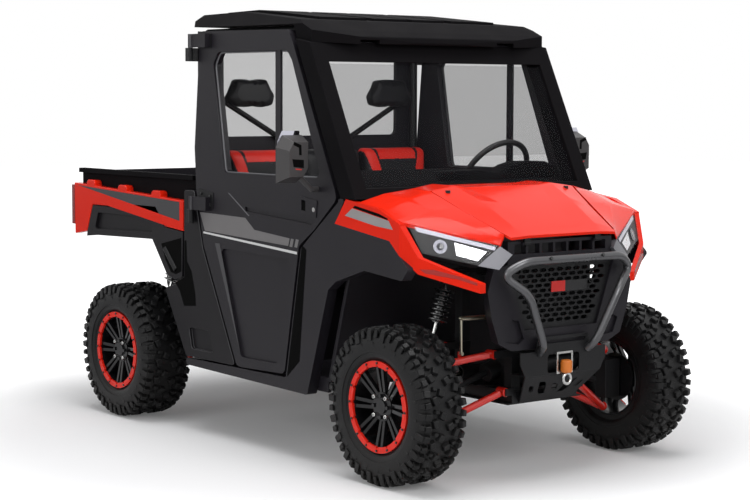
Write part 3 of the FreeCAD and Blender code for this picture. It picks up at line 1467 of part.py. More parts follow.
def headrests():
    """Two headrests on the braces."""
    rear = REAR_WALL_X + CAGE_TUBE_RADIUS + BRACE_RADIUS + SEAT_GAP * 2
    half = HEADREST_WIDTH / 2
    rise = HEADREST_HEIGHT / 2
    return pair(
        box(
            (rear, -HEADREST_HALF - half, HEADREST_Z - rise),
            (rear + HEADREST_THICKNESS, -HEADREST_HALF + half, HEADREST_Z + rise),
        )
    )


# Nose


def narrowed(stations, gap):
    """The same upper lines with their outer ends drawn in by a gap."""
    drawn_in = []
    for along, line in stations:
        out, up = line[-1]
        drawn_in.append((along, line[:-1] + [(out - gap / CAB_HALF_WIDTH, up)]))
    return drawn_in


def hood_middle(x):
    """Height of the middle of the hood's skin at x, near its front edge."""
    (rear_along, rear_line), (front_along, front_line) = HOOD_SHARES[-2:]
    share = ((x - REAR_AXLE_X) / WHEELBASE - rear_along) / (front_along - rear_along)
    rear_up = rear_line[0][1]
    return CAB_HEIGHT * (rear_up + (front_line[0][1] - rear_up) * share) - HOOD_THICKNESS / 2


def hood():
    """Creased hood panel with two bored lugs; it tips about its front edge."""
    solids = [skin_loft(narrowed(HOOD_SHARES, HOOD_GAP), HOOD_THICKNESS, True)]
    half = HOOD_HINGE_LENGTH / 2
    rise = hood_middle(HOOD_HINGE_X)
    holes = []
    for side in ENDS:
        pin = V(HOOD_HINGE_X, side * HOOD_HINGE_HALF, HOOD_HINGE_Z)
        lug = HOOD_PIN_RADIUS * 1.5
        solids.append(rod(pin - SIDEWAYS * half, pin + SIDEWAYS * half, HOOD_PIN_RADIUS * 2))
        solids.append(box((pin.x - lug, pin.y - half, pin.z), (pin.x + lug, pin.y + half, rise)))
        reach = SIDEWAYS * HOOD_HINGE_LENGTH
        holes.append(rod(pin - reach, pin + reach, HOOD_PIN_RADIUS + PIVOT_FIT))
    return fused(solids).cut(Part.makeCompound(holes))


def hood_hinge_ears():
    """Ears and pins in front of the slotted bar, on both sides of the hood's two lugs."""
    solids = []
    face = NOSE_FACE_X - SLOT_BAR_SETBACK - OVERRUN
    half = HOOD_HINGE_LENGTH / 2 + SEAT_GAP
    outer = half + EAR_THICKNESS
    for side in ENDS:
        pin = V(HOOD_HINGE_X, side * HOOD_HINGE_HALF, HOOD_HINGE_Z)
        solids.append(rod(pin - SIDEWAYS * outer, pin + SIDEWAYS * outer, HOOD_PIN_RADIUS))
        for end in ENDS:
            solids.append(
                box(
                    (face, pin.y + end * half, pin.z - HOOD_PIN_RADIUS * 2),
                    (pin.x + HOOD_PIN_RADIUS, pin.y + end * outer, pin.z + HOOD_PIN_RADIUS),
                )
            )
    return solids


def cowl():
    """Painted panel between the windscreen and the hood."""
    return skin_loft(COWL_SHARES, COWL_THICKNESS, True)


def front_fenders():
    """Painted band over each front wheel, the shoulder up to the hood and the nose tip."""
    band = side_plate(FENDER_SHARES, CAB_HALF_WIDTH - FENDER_THICKNESS, CAB_HALF_WIDTH)
    shoulder = skin_loft(SHOULDER_SHARES, COWL_THICKNESS, False)
    fender = fused([band, shoulder, station_loft(FENDER_TIP_SHARES)])
    return pair(fender.cut(headlamp(LAMP_THICKNESS + WING_DEPTH)).cut(wing()))


def headlamp(depth):
    """Right lamp, this deep: a slanted four-cornered lens with its bowl behind."""
    outer, inner, low = corner_points(LAMP_CORNERS)
    over, down = LAMP_LOW_CORNER
    outer_low = outer + (inner - outer) * over + (low - outer) * down
    behind = (low - outer).cross(inner - outer)
    behind.normalize()
    return plate([outer, inner, low, outer_low], behind * -depth)


def headlamps():
    """Lamp at each front corner."""
    return pair(headlamp(LAMP_THICKNESS))


def wing():
    """Right trim between the lamp, the slotted bar and the bumper, as two flat facets."""
    upper, inner, low, outer = corner_points(WING_CORNERS)
    back = FORWARD * -WING_DEPTH
    trim = fused([plate([upper, inner, low], back), plate([upper, low, outer], back)])
    parts = trim.cut(headlamp(LAMP_THICKNESS + WING_DEPTH)).Solids
    return max(parts, key=lambda solid: solid.Volume)


def cheeks():
    """Moulded bumper cover round the grille, narrower behind, with a pocket below each lamp."""
    face_x = NOSE_FACE_X - CHEEK_SETBACK
    rear_x = FRONT_AXLE_X + ARM_BASE / 2 + POST_SIZE / 2
    rear_shares = [(out * CHEEK_TAPER_SHARE, up) for out, up in CHEEK_SHARES]
    wires = []
    for x, shares in ((rear_x, rear_shares), (face_x, CHEEK_SHARES)):
        loop = mirrored_loop(front_points(shares, x))
        wires.append(Part.makePolygon(loop + [loop[0]]))
    top, low = front_points(GRILLE_SHARES, rear_x - OVERRUN)
    above = top + top - low
    notch = plate([above, low, other_point(low), other_point(above)], FORWARD * (NOSE_FACE_X - rear_x))
    floor_x = face_x - CHEEK_POCKET_DEPTH
    pocket = plate(front_points(CHEEK_POCKET_SHARES, floor_x), FORWARD * BAR_FOOT_LENGTH)
    cover = Part.makeLoft(wires, True, True).cut(notch)
    for piece in (pocket, wing(), headlamp(LAMP_THICKNESS + WING_DEPTH)):
        cover = cover.cut(pair(piece))
    return cover


def mesh_grille():
    """Grille plate pierced by staggered rows of flat six-sided cells."""
    x = NOSE_FACE_X - CHEEK_SETBACK - GRILLE_SETBACK
    top, low = front_points(GRILLE_SHARES, x)
    panel = plate([top, low, other_point(low), other_point(top)], FORWARD * GRILLE_THICKNESS)
    rows = int((top.z - low.z - MESH_PITCH_Z) / MESH_PITCH_Z)
    start = (top.z + low.z - (rows - 1) * MESH_PITCH_Z) / 2
    half_y = (MESH_PITCH_Y - MESH_WEB) / 2
    half_z = (MESH_PITCH_Z - MESH_WEB) / 2
    cells = []
    for row in range(rows):
        z = start + row * MESH_PITCH_Z
        slope = (z - low.z) / (top.z - low.z)
        reach = -low.y + (low.y - top.y) * slope - MESH_MARGIN
        count = int(reach / MESH_PITCH_Y) + 1
        for column in range(-count, count + 1):
            y = (column + (row % 2) / 2) * MESH_PITCH_Y
            if abs(y) < reach:
                cell = [V(x - OVERRUN, y + half_y * across, z + half_z * up) for across, up in CELL_SHARES]
                cells.append(plate(cell, FORWARD * (GRILLE_THICKNESS + 2 * OVERRUN)))
    return panel.cut(Part.makeCompound(cells))


def slot_grille():
    """Bar under the hood with a row of slots, a trim wing at each end and the hood's hinge ears."""
    front = NOSE_FACE_X - SLOT_BAR_SETBACK
    rear = front - SLOT_BAR_DEPTH
    bar = box((rear, -SLOT_BAR_HALF, SLOT_BAR_LOW), (front, SLOT_BAR_HALF, SLOT_BAR_TOP))
    pitch = 2 * SLOT_BAR_HALF * SLOT_RUN_SHARE / SLOT_COUNT
    half = pitch * SLOT_WIDTH_SHARE
    slots = []
    for index in range(SLOT_COUNT):
        y = (index - (SLOT_COUNT - 1) / 2) * pitch
        outline = [
            V(rear - OVERRUN, y - half, SLOT_BAR_LOW + SLOT_FOOT_MARGIN),
            V(rear - OVERRUN, y + half, SLOT_BAR_LOW + SLOT_FOOT_MARGIN),
            V(rear - OVERRUN, y + half, SLOT_BAR_TOP - SLOT_MARGIN),
            V(rear - OVERRUN, y - half, SLOT_BAR_TOP - SLOT_MARGIN),
        ]
        slots.append(plate(outline, FORWARD * (SLOT_BAR_DEPTH + 2 * OVERRUN)))
    wings = [wing(), other_side(wing())]
    return fused([bar.cut(Part.makeCompound(slots))] + wings + hood_hinge_ears())


def bull_plate():
    """Folded winch plate with its window, slots, tray and rail flange."""
    t = PLATE_THICKNESS
    low_inset, high_inset = [t * share for share in FOLD_INSETS]
    foot_x = FRAME_FRONT_X
    profile = [
        V(NOSE_FACE_X, 0, BULL_PLATE_TOP),
        V(NOSE_FACE_X, 0, BULL_PLATE_FOLD),
        V(foot_x + t, 0, RAIL_BASE),
        V(foot_x, 0, RAIL_BASE),
        V(foot_x, 0, RAIL_BASE + RAIL_HEIGHT),
        V(foot_x + t, 0, RAIL_BASE + RAIL_HEIGHT),
        V(foot_x + t, 0, RAIL_BASE + low_inset),
        V(NOSE_FACE_X - t, 0, BULL_PLATE_FOLD + high_inset),
        V(NOSE_FACE_X - t, 0, BULL_PLATE_TOP),
    ]
    start = SIDEWAYS * -BULL_PLATE_HALF
    sheet = plate([point + start for point in profile], SIDEWAYS * (2 * BULL_PLATE_HALF))
    tray_half = BULL_PLATE_FOOT_HALF + POST_SIZE
    tray = box(
        (FRONT_AXLE_X + ARM_BASE / 2 + POST_SIZE / 2, -tray_half, BULL_PLATE_FOLD - t),
        (NOSE_FACE_X - t / 2, tray_half, BULL_PLATE_FOLD),
    )
    behind = foot_x - OVERRUN
    corner = [
        V(behind, -BULL_PLATE_FOOT_HALF, RAIL_BASE - OVERRUN),
        V(behind, -BULL_PLATE_HALF * 2, RAIL_BASE - OVERRUN),
        V(behind, -BULL_PLATE_HALF * 2, BULL_PLATE_TOP),
        V(behind, -BULL_PLATE_HALF, BULL_PLATE_TOP - POST_SIZE),
    ]
    trim = plate(corner, FORWARD * NOSE_FACE_X)
    low = BULL_PLATE_FOLD + t
    high = BULL_PLATE_TOP - t * 3
    window = [
        V(NOSE_FACE_X - t - OVERRUN, y, z)
        for y, z in (
            (-WINCH_WINDOW_HALF, low),
            (WINCH_WINDOW_HALF, low),
            (WINCH_WINDOW_HALF, high),
            (-WINCH_WINDOW_HALF, high),
        )
    ]
    cuts = [trim, other_side(trim), plate(window, FORWARD * (t + 2 * OVERRUN), PANEL_CORNER)]
    body = fused([sheet, tray]).cut(Part.makeCompound(cuts)).cut(Part.makeCompound(plate_slots()))
    return fused([body, tongue()])


def tongue():
    """Upright middle of the winch plate between the bumper's legs, with its long slot."""
    rear = NOSE_FACE_X - PLATE_THICKNESS
    top_half = TONGUE_HALF - TONGUE_TAPER
    outline = [
        V(rear, -TONGUE_HALF, BULL_PLATE_TOP - OVERRUN),
        V(rear, TONGUE_HALF, BULL_PLATE_TOP - OVERRUN),
        V(rear, top_half, TONGUE_TOP),
        V(rear, -top_half, TONGUE_TOP),
    ]
    middle = (TONGUE_TOP + BULL_PLATE_TOP) / 2
    slot = box(
        (rear - OVERRUN, -TONGUE_SLOT_HALF, middle),
        (NOSE_FACE_X + OVERRUN, TONGUE_SLOT_HALF, middle + TONGUE_SLOT_HEIGHT),
    )
    return plate(outline, FORWARD * PLATE_THICKNESS).cut(slot)


def plate_slots():
    """Slanted six-sided slots through the winch plate's lower face."""
    middle = (RAIL_BASE + BULL_PLATE_FOLD) / 2
    slots = []
    for out, width, rise in PLATE_SLOT_SHARES:
        half_y = CAB_HALF_WIDTH * width / 2
        half_z = CAB_HEIGHT * rise / 2
        lean = half_z / 2
        y = -CAB_HALF_WIDTH * out
        outline = [
            V(FRAME_FRONT_X + PLATE_THICKNESS * 2, y + half_y * across - lean * way, middle + half_z * up)
            for across, up, way in PLATE_SLOT_LOOP
        ]
        slot = plate(outline, FORWARD * NOSE_FACE_X)
        slots += [slot, other_side(slot)] if out > 0 else [slot]
    return slots


def winch():
    """Winch drum on the tray, rope end and hook, and the fairlead frame on the plate."""
    drum_x = NOSE_FACE_X - WINCH_CLEARANCE - WINCH_RADIUS
    z = BULL_PLATE_FOLD + WINCH_RADIUS
    rope_x = NOSE_FACE_X + HOOK_RADIUS
    hook_z = BULL_PLATE_FOLD
    rope = bent_tube([V(drum_x, 0, z), V(rope_x, 0, z), V(rope_x, 0, hook_z)], HOOK_WIRE)
    ring = Part.makeTorus(HOOK_RADIUS, HOOK_WIRE, V(rope_x, 0, hook_z - HOOK_RADIUS), FORWARD)
    drum = rod(V(drum_x, -WINCH_HALF, z), V(drum_x, WINCH_HALF, z), WINCH_RADIUS)
    half = FAIRLEAD_HALF
    wall = FAIRLEAD_WALL
    low = BULL_PLATE_FOLD
    high = BULL_PLATE_TOP - wall
    front = NOSE_FACE_X + FAIRLEAD_DEPTH
    plate_frame = box((NOSE_FACE_X, -half, low), (front, half, high))
    hole = box(
        (NOSE_FACE_X - OVERRUN, wall - half, low + wall),
        (front + OVERRUN, half - wall, high - wall),
    )
    return Part.makeCompound([fused([drum, rope, ring]), plate_frame.cut(hole)])


def bumper_bar():
    """Tube hoop in front of the grille, standing on the winch plate."""
    points = [
        V(FRONT_X - offset, -CAB_HALF_WIDTH * v, CAB_HEIGHT * w)
        for offset, (v, w) in zip(BAR_OFFSETS, BAR_SHARES)
    ]
    solids = [bent_tube(mirrored_loop(points), BAR_RADIUS)]
    foot = points[0]
    for side in ENDS:
        solids.append(
            box(
                (NOSE_FACE_X, side * foot.y - BAR_RADIUS, foot.z - BAR_FOOT_LENGTH - BAR_RADIUS),
                (foot.x, side * foot.y + BAR_RADIUS, foot.z),
            )
        )
    return fused(solids)


# Cargo bed


def tailgate_hinge(side, fixed):
    """Tub's half of a tailgate hinge with its pin, or the gate's half."""
    x = BED_REAR_X - SHUT_GAP - TAILGATE_THICKNESS / 2
    z = TAILGATE_HINGE_Z
    centre = side * TAILGATE_HALF * TAILGATE_HINGE_SHARE
    start = V(x, centre - POST_SIZE, z)
    middle = V(x, centre, z)
    end = V(x, centre + POST_SIZE, z)
    radius = HINGE_PIN_RADIUS * HINGE_EYE_SHARE
    pin = HINGE_PIN_RADIUS * TAILGATE_PIN_SHARE
    if fixed:
        inner = centre - SEAT_GAP
        return fused(
            [
                rod(start, middle - SIDEWAYS * SEAT_GAP, radius),
                rod(start, end, pin),
                box((x, start.y, z - HINGE_LEAF), (BED_REAR_X + BED_WALL, inner, z + HINGE_LEAF)),
                box(
                    (BED_REAR_X, start.y, z - HINGE_LEAF),
                    (BED_REAR_X + BED_WALL, inner, BED_FLOOR_Z + HINGE_LEAF),
                ),
            ]
        )
    leaf = box((x - radius, centre, z), (x, end.y, z + TAILGATE_THICKNESS))
    hole = rod(middle - SIDEWAYS * OVERRUN, end + SIDEWAYS * OVERRUN, pin + PIVOT_FIT)
    return fused([rod(middle, end, radius), leaf]).cut(hole)


def bed_tub():
    """Open ribbed tub with top rails, runners and pivot lugs; the tailgate closes its rear."""
    wall = BED_WALL
    floor_top = BED_FLOOR_Z + wall
    outer = box((BED_REAR_X, -BED_HALF, BED_FLOOR_Z), (BED_FRONT_X, BED_HALF, BED_TOP_Z))
    inner = box(
        (BED_REAR_X - OVERRUN, -BED_HALF + wall, floor_top),
        (BED_FRONT_X - wall, BED_HALF - wall, BED_TOP_Z + OVERRUN),
    )
    solids = [outer.cut(inner)]
    rail_low = BED_TOP_Z - BED_RAIL_HEIGHT
    for side in ENDS:
        edge = side * (BED_HALF - OVERRUN)
        outer = side * (BED_HALF + BED_RAIL_WIDTH)
        solids.append(box((BED_REAR_X, edge, rail_low), (BED_FRONT_X, outer, BED_TOP_Z)))
        y = side * (RAIL_HALF + POST_SIZE)
        solids.append(
            box(
                (BED_REAR_X, y - wall / 2, BED_FLOOR_Z - BED_RUNNER_HEIGHT),
                (BED_FRONT_X - wall, y + wall / 2, BED_FLOOR_Z + wall / 2),
            )
        )
        solids.append(
            box(
                (BED_PIVOT_X - POST_SIZE, y - wall / 2, BED_PIVOT_Z - PIVOT_RADIUS * 2),
                (BED_PIVOT_X + POST_SIZE, y + wall / 2, BED_FLOOR_Z),
            )
        )
        solids.append(tailgate_hinge(side, True))
    pitch = 2 * (BED_HALF - wall) / BED_RIB_COUNT
    for index in range(BED_RIB_COUNT):
        y = (index - (BED_RIB_COUNT - 1) / 2) * pitch
        solids.append(
            box(
                (BED_REAR_X + wall, y - BED_RIB_WIDTH / 2, floor_top - OVERRUN),
                (BED_FRONT_X - wall * 2, y + BED_RIB_WIDTH / 2, floor_top + BED_RIB_HEIGHT),
            )
        )
    pin = V(BED_PIVOT_X, -BED_HALF, BED_PIVOT_Z)
    return fused(solids).cut(rod(pin, other_point(pin), PIVOT_RADIUS + PIVOT_FIT))


def bed_sides():
    """Painted side panels of the bed, with three round-topped tabs."""
    inner = BED_HALF + SEAT_GAP
    solids = [side_plate(BED_SIDE_SHARES, inner, CAB_HALF_WIDTH)]
    for point in side_points(TAB_SHARES, -CAB_HALF_WIDTH):
        half = FORWARD * (TAB_WIDTH / 2)
        low = point - UP * TAB_HEIGHT
        high = point + UP * TAB_HEIGHT
        outline = [low - half, low + half, high + half, high - half]
        solids.append(plate(outline, SIDEWAYS * (CAB_HALF_WIDTH - inner), TAB_CORNER))
    return pair(fused(solids))


def bed_flares():
    """Wheel arch trims of the bed, pressed in above the wheel."""
    flare = side_plate(FLARE_SHARES, BED_HALF + SEAT_GAP, CAB_HALF_WIDTH)
    outer = CAB_HALF_WIDTH + OVERRUN
    press = side_plate(FLARE_POCKET_SHARES, CAB_HALF_WIDTH - POCKET_DEPTH, outer, PANEL_CORNER)
    return pair(flare.cut(press))


def tail_lamps():
    """Upright lamp at each rear corner of the bed."""
    rear = BED_REAR_X - SHUT_GAP * 2
    outer = CAB_HALF_WIDTH - SEAT_GAP
    return pair(
        box(
            (rear - LAMP_DEPTH, -outer, BED_FLOOR_Z),
            (rear, LAMP_WIDTH - CAB_HALF_WIDTH, BED_TOP_Z - LAMP_DROP),
        )
    )


def tailgate():
    """Drop-down rear gate with pressed panels and its handle."""
    front = BED_REAR_X - SHUT_GAP
    rear = front - TAILGATE_THICKNESS
    low = TAILGATE_HINGE_Z + TAILGATE_THICKNESS / 2
    gate = box((rear, -TAILGATE_HALF, low), (front, TAILGATE_HALF, TAILGATE_TOP))
    pitch = 2 * TAILGATE_HALF / TAILGATE_PANELS
    presses = []
    for index in range(TAILGATE_PANELS):
        y = (index - (TAILGATE_PANELS - 1) / 2) * pitch
        half = pitch / 2 - TAILGATE_THICKNESS
        corners = [
            V(rear - OVERRUN, y - half, low + TAILGATE_THICKNESS),
            V(rear - OVERRUN, y + half, low + TAILGATE_THICKNESS),
            V(rear - OVERRUN, y + half, TAILGATE_TOP - TAILGATE_THICKNESS),
            V(rear - OVERRUN, y - half, TAILGATE_TOP - TAILGATE_THICKNESS),
        ]
        presses.append(plate(corners, FORWARD * (TAILGATE_PRESS + OVERRUN), PANEL_CORNER))
    half = POST_SIZE * 2
    handle = box((REAR_X, -half, TAILGATE_TOP - POST_SIZE * 3), (front, half, TAILGATE_TOP - POST_SIZE * 2))
    gate = gate.cut(Part.makeCompound(presses))
    return fused([gate, handle] + [tailgate_hinge(side, False) for side in ENDS])


SINGLE_NODES = {
    "suspension_arms": suspension_arms,
    "shocks": shocks,
    "stabiliser": stabiliser,
    "powertrain": powertrain,
    "steering_rack": steering_rack,
    "rear_knuckles": rear_knuckles,
    "frame": frame,
    "skid_plate": skid_plate,
    "hitch": hitch,
    "muffler": muffler,
    "floor_pan": floor_pan,
    "side_panels": side_panels,
    "rear_quarters": rear_quarters,
    "rear_wall": rear_wall,
    "glazing": glazing,
    "windscreen_frame": windscreen_frame,
    "roof": roof,
    "cage": cage,
    "hinge_brackets": hinge_brackets,
    "dashboard": dashboard,
    "steering_wheel": steering_wheel,
    "seats": seats,
    "headrests": headrests,
    "hood": hood,
    "cowl": cowl,
    "front_fenders": front_fenders,
    "headlamps": headlamps,
    "cheeks": cheeks,
    "mesh_grille": mesh_grille,
    "slot_grille": slot_grille,
    "bull_plate": bull_plate,
    "winch": winch,
    "bumper_bar": bumper_bar,
    "bed_tub": bed_tub,
    "bed_sides": bed_sides,
    "bed_flares": bed_flares,
    "tail_lamps": tail_lamps,
    "tailgate": tailgate,
}
SIDED_NODES = {
    "knuckle": front_knuckle,
    "tie_rod": tie_rod,
    "door_panel": door_panel,
    "door_glass": door_glass,
    "mirror": mirror,
}
WHEELS = {
    "front": (FRONT_AXLE_X, FRONT_TRACK, FRONT_TYRE_WIDTH),
    "rear": (REAR_AXLE_X, REAR_TRACK, REAR_TYRE_WIDTH),
}


def main():
    nodes = {name: make() for name, make in SINGLE_NODES.items()}
    for name, make in SIDED_NODES.items():
        nodes[name + "_right"] = make()
        nodes[name + "_left"] = other_side(nodes[name + "_right"])
    for end, (x, track, width) in WHEELS.items():
        for piece, shape in wheel_set(width).items():
            shape.translate(V(x, track / 2, TYRE_RADIUS))
            nodes[piece + "_" + end + "_left"] = shape
            nodes[piece + "_" + end + "_right"] = other_side(shape)
    os.makedirs("parts", exist_ok=True)
    for name, shape in nodes.items():
        shape.exportStep("parts/" + name + ".step")


main()
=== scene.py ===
"""The looks of a side by side utility vehicle with a full cab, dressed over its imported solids.

Metres, +X forward, +Y to the vehicle's left, +Z up, origin on the ground under its middle.
"""

import json
import math
import bpy
from mathutils import Matrix, Vector
from mathutils.bvhtree import BVHTree

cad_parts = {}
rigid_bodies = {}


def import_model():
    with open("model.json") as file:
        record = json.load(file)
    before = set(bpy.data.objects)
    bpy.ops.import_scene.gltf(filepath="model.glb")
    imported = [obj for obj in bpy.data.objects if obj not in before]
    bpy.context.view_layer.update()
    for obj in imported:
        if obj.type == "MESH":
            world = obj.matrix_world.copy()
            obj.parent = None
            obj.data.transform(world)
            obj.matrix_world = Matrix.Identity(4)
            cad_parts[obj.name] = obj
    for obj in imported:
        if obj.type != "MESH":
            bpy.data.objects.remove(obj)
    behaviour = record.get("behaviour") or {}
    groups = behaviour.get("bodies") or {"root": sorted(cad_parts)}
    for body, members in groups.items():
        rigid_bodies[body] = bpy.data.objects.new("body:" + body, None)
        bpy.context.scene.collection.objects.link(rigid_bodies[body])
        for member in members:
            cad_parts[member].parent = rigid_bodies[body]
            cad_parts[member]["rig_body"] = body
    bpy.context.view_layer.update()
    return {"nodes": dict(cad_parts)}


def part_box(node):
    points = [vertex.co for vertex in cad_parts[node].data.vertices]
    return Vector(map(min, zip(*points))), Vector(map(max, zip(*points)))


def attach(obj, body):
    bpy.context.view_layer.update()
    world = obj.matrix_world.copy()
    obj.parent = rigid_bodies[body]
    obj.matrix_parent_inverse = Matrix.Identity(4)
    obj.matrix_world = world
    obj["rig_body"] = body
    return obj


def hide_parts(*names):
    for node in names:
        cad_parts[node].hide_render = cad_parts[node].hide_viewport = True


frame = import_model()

# The camera stands ahead of the right front wheel, a little under the roof's height, and looks
# slightly down along the whole vehicle with a long lens.
camera = bpy.data.objects.new("camera", bpy.data.cameras.new("camera"))
bpy.context.scene.collection.objects.link(camera)
bpy.context.scene.camera = camera
camera.data.lens = 88.23
camera.data.sensor_width = 36.0
camera.matrix_world = (
    Matrix.Translation((7.205, -5.553, 1.663))
    @ Matrix.Rotation(math.radians(51.744), 4, "Z")
    @ Matrix.Rotation(math.radians(85.136), 4, "X")
    @ Matrix.Rotation(math.radians(0.218), 4, "Z")
)
bpy.context.scene.view_settings.view_transform = "Standard"

# A plain studio: a pale floor that keeps the vehicle's soft shadow, a white surround for the
# camera and for reflections, three soft lamps outside and a faint one under the roof.
bpy.ops.mesh.primitive_plane_add(size=60, location=(0, 0, 0))
floor = bpy.context.object
floor.name = "studio_floor"
floor_finish = bpy.data.materials.new("studio_floor")
floor_finish.use_nodes = True
tree = floor_finish.node_tree
floor_paint = tree.nodes["Principled BSDF"]
floor_paint.inputs["Base Color"].default_value = (0.80, 0.80, 0.81, 1)
floor_paint.inputs["Roughness"].default_value = 0.9
floor_paint.inputs["Specular IOR Level"].default_value = 0.0
place = tree.nodes.new("ShaderNodeTexCoord")
reach = tree.nodes.new("ShaderNodeVectorMath")
reach.operation = "LENGTH"
fade = tree.nodes.new("ShaderNodeMapRange")
fade.interpolation_type = "SMOOTHSTEP"
fade.inputs["From Min"].default_value = 1.5
fade.inputs["From Max"].default_value = 3.6
fade.inputs["To Min"].default_value = 0.10
fade.inputs["To Max"].default_value = 1.0
rays = tree.nodes.new("ShaderNodeLightPath")
lift = tree.nodes.new("ShaderNodeMath")
lift.operation = "MULTIPLY"
tree.links.new(place.outputs["Object"], reach.inputs[0])
tree.links.new(reach.outputs["Value"], fade.inputs["Value"])
tree.links.new(rays.outputs["Is Camera Ray"], lift.inputs[0])
tree.links.new(fade.outputs["Result"], lift.inputs[1])
floor_paint.inputs["Emission Color"].default_value = (1, 1, 1, 1)
tree.links.new(lift.outputs[0], floor_paint.inputs["Emission Strength"])
floor.data.materials.append(floor_finish)

# Camera, glass and mirrored rays meet a white surround, and all others a dimmer one.
world = bpy.data.worlds.new("studio_surround")
bpy.context.scene.world = world
world.use_nodes = True
tree = world.node_tree
surround = tree.nodes["Background"]
surround.inputs["Color"].default_value = (1, 1, 1, 1)
rays = tree.nodes.new("ShaderNodeLightPath")
seen = tree.nodes.new("ShaderNodeMath")
seen.operation = "MAXIMUM"
mirrored = tree.nodes.new("ShaderNodeMath")
mirrored.operation = "MAXIMUM"
tree.links.new(rays.outputs["Is Camera Ray"], seen.inputs[0])
tree.links.new(rays.outputs["Is Transmission Ray"], seen.inputs[1])
tree.links.new(seen.outputs[0], mirrored.inputs[0])
tree.links.new(rays.outputs["Is Glossy Ray"], mirrored.inputs[1])
level = tree.nodes.new("ShaderNodeMapRange")
level.inputs["To Min"].default_value = 0.32
level.inputs["To Max"].default_value = 1.0
tree.links.new(mirrored.outputs[0], level.inputs["Value"])
tree.links.new(level.outputs["Result"], surround.inputs["Strength"])

for name, spot, aim, wide, deep, watts in (
    ("overhead_lamp", (0.6, -0.6, 6.0), (0.2, 0.0, 0.8), 5.0, 3.5, 260),
    ("front_lamp", (6.5, -1.0, 4.0), (0.2, 0.0, 0.8), 3.0, 3.0, 135),
    ("side_lamp", (1.0, -7.0, 3.2), (0.2, 0.0, 0.8), 4.5, 2.0, 85),
    ("cab_lamp", (0.5, 0.0, 1.8), (-0.3, 0.0, 1.2), 0.9, 0.3, 5),
):
    lamp = bpy.data.objects.new(name, bpy.data.lights.new(name, "AREA"))
    bpy.context.scene.collection.objects.link(lamp)
    lamp.data.shape = "RECTANGLE"
    lamp.data.size = wide
    lamp.data.size_y = deep
    lamp.data.energy = watts
    lamp.location = spot
    lamp.rotation_euler = (Vector(aim) - Vector(spot)).to_track_quat("-Z", "Y").to_euler()
    lamp.visible_camera = False

# Moulded and painted finishes. Each surface has a fine grain and a slow change of tone, and the
# low parts carry a thin film of dust from the road.
surface = bpy.data.node_groups.new("surface_tone", "ShaderNodeTree")
for name, value in (("Grain Scale", 400.0), ("Dust Top", 0.5)):
    socket = surface.interface.new_socket(name, in_out="INPUT", socket_type="NodeSocketFloat")
    socket.default_value = value
for name in ("Tone", "Grain", "Dust"):
    surface.interface.new_socket(name, in_out="OUTPUT", socket_type="NodeSocketFloat")
start = surface.nodes.new("NodeGroupInput")
end = surface.nodes.new("NodeGroupOutput")
place = surface.nodes.new("ShaderNodeTexCoord")
slow = surface.nodes.new("ShaderNodeTexNoise")
slow.inputs["Scale"].default_value = 5.0
slow.inputs["Detail"].default_value = 6.0
fine = surface.nodes.new("ShaderNodeTexNoise")
fine.inputs["Detail"].default_value = 2.0
pits = surface.nodes.new("ShaderNodeTexVoronoi")
pits.feature = "SMOOTH_F1"
mixed = surface.nodes.new("ShaderNodeMath")
mixed.operation = "ADD"
split = surface.nodes.new("ShaderNodeSeparateXYZ")
fall = surface.nodes.new("ShaderNodeMapRange")
fall.interpolation_type = "SMOOTHSTEP"
fall.inputs["To Min"].default_value = 1.0
fall.inputs["To Max"].default_value = 0.0
patchy = surface.nodes.new("ShaderNodeMath")
patchy.operation = "MULTIPLY"
for a, b in (
    (place.outputs["Object"], slow.inputs["Vector"]),
    (place.outputs["Object"], fine.inputs["Vector"]),
    (place.outputs["Object"], pits.inputs["Vector"]),
    (place.outputs["Object"], split.inputs["Vector"]),
    (start.outputs["Grain Scale"], fine.inputs["Scale"]),
    (start.outputs["Grain Scale"], pits.inputs["Scale"]),
    (fine.outputs["Fac"], mixed.inputs[0]),
    (pits.outputs["Distance"], mixed.inputs[1]),
    (split.outputs["Z"], fall.inputs["Value"]),
    (start.outputs["Dust Top"], fall.inputs["From Max"]),
    (fall.outputs["Result"], patchy.inputs[0]),
    (slow.outputs["Fac"], patchy.inputs[1]),
    (slow.outputs["Fac"], end.inputs["Tone"]),
    (mixed.outputs[0], end.inputs["Grain"]),
    (patchy.outputs[0], end.inputs["Dust"]),
):
    surface.links.new(a, b)

ROAD_DUST = (0.20, 0.17, 0.14)


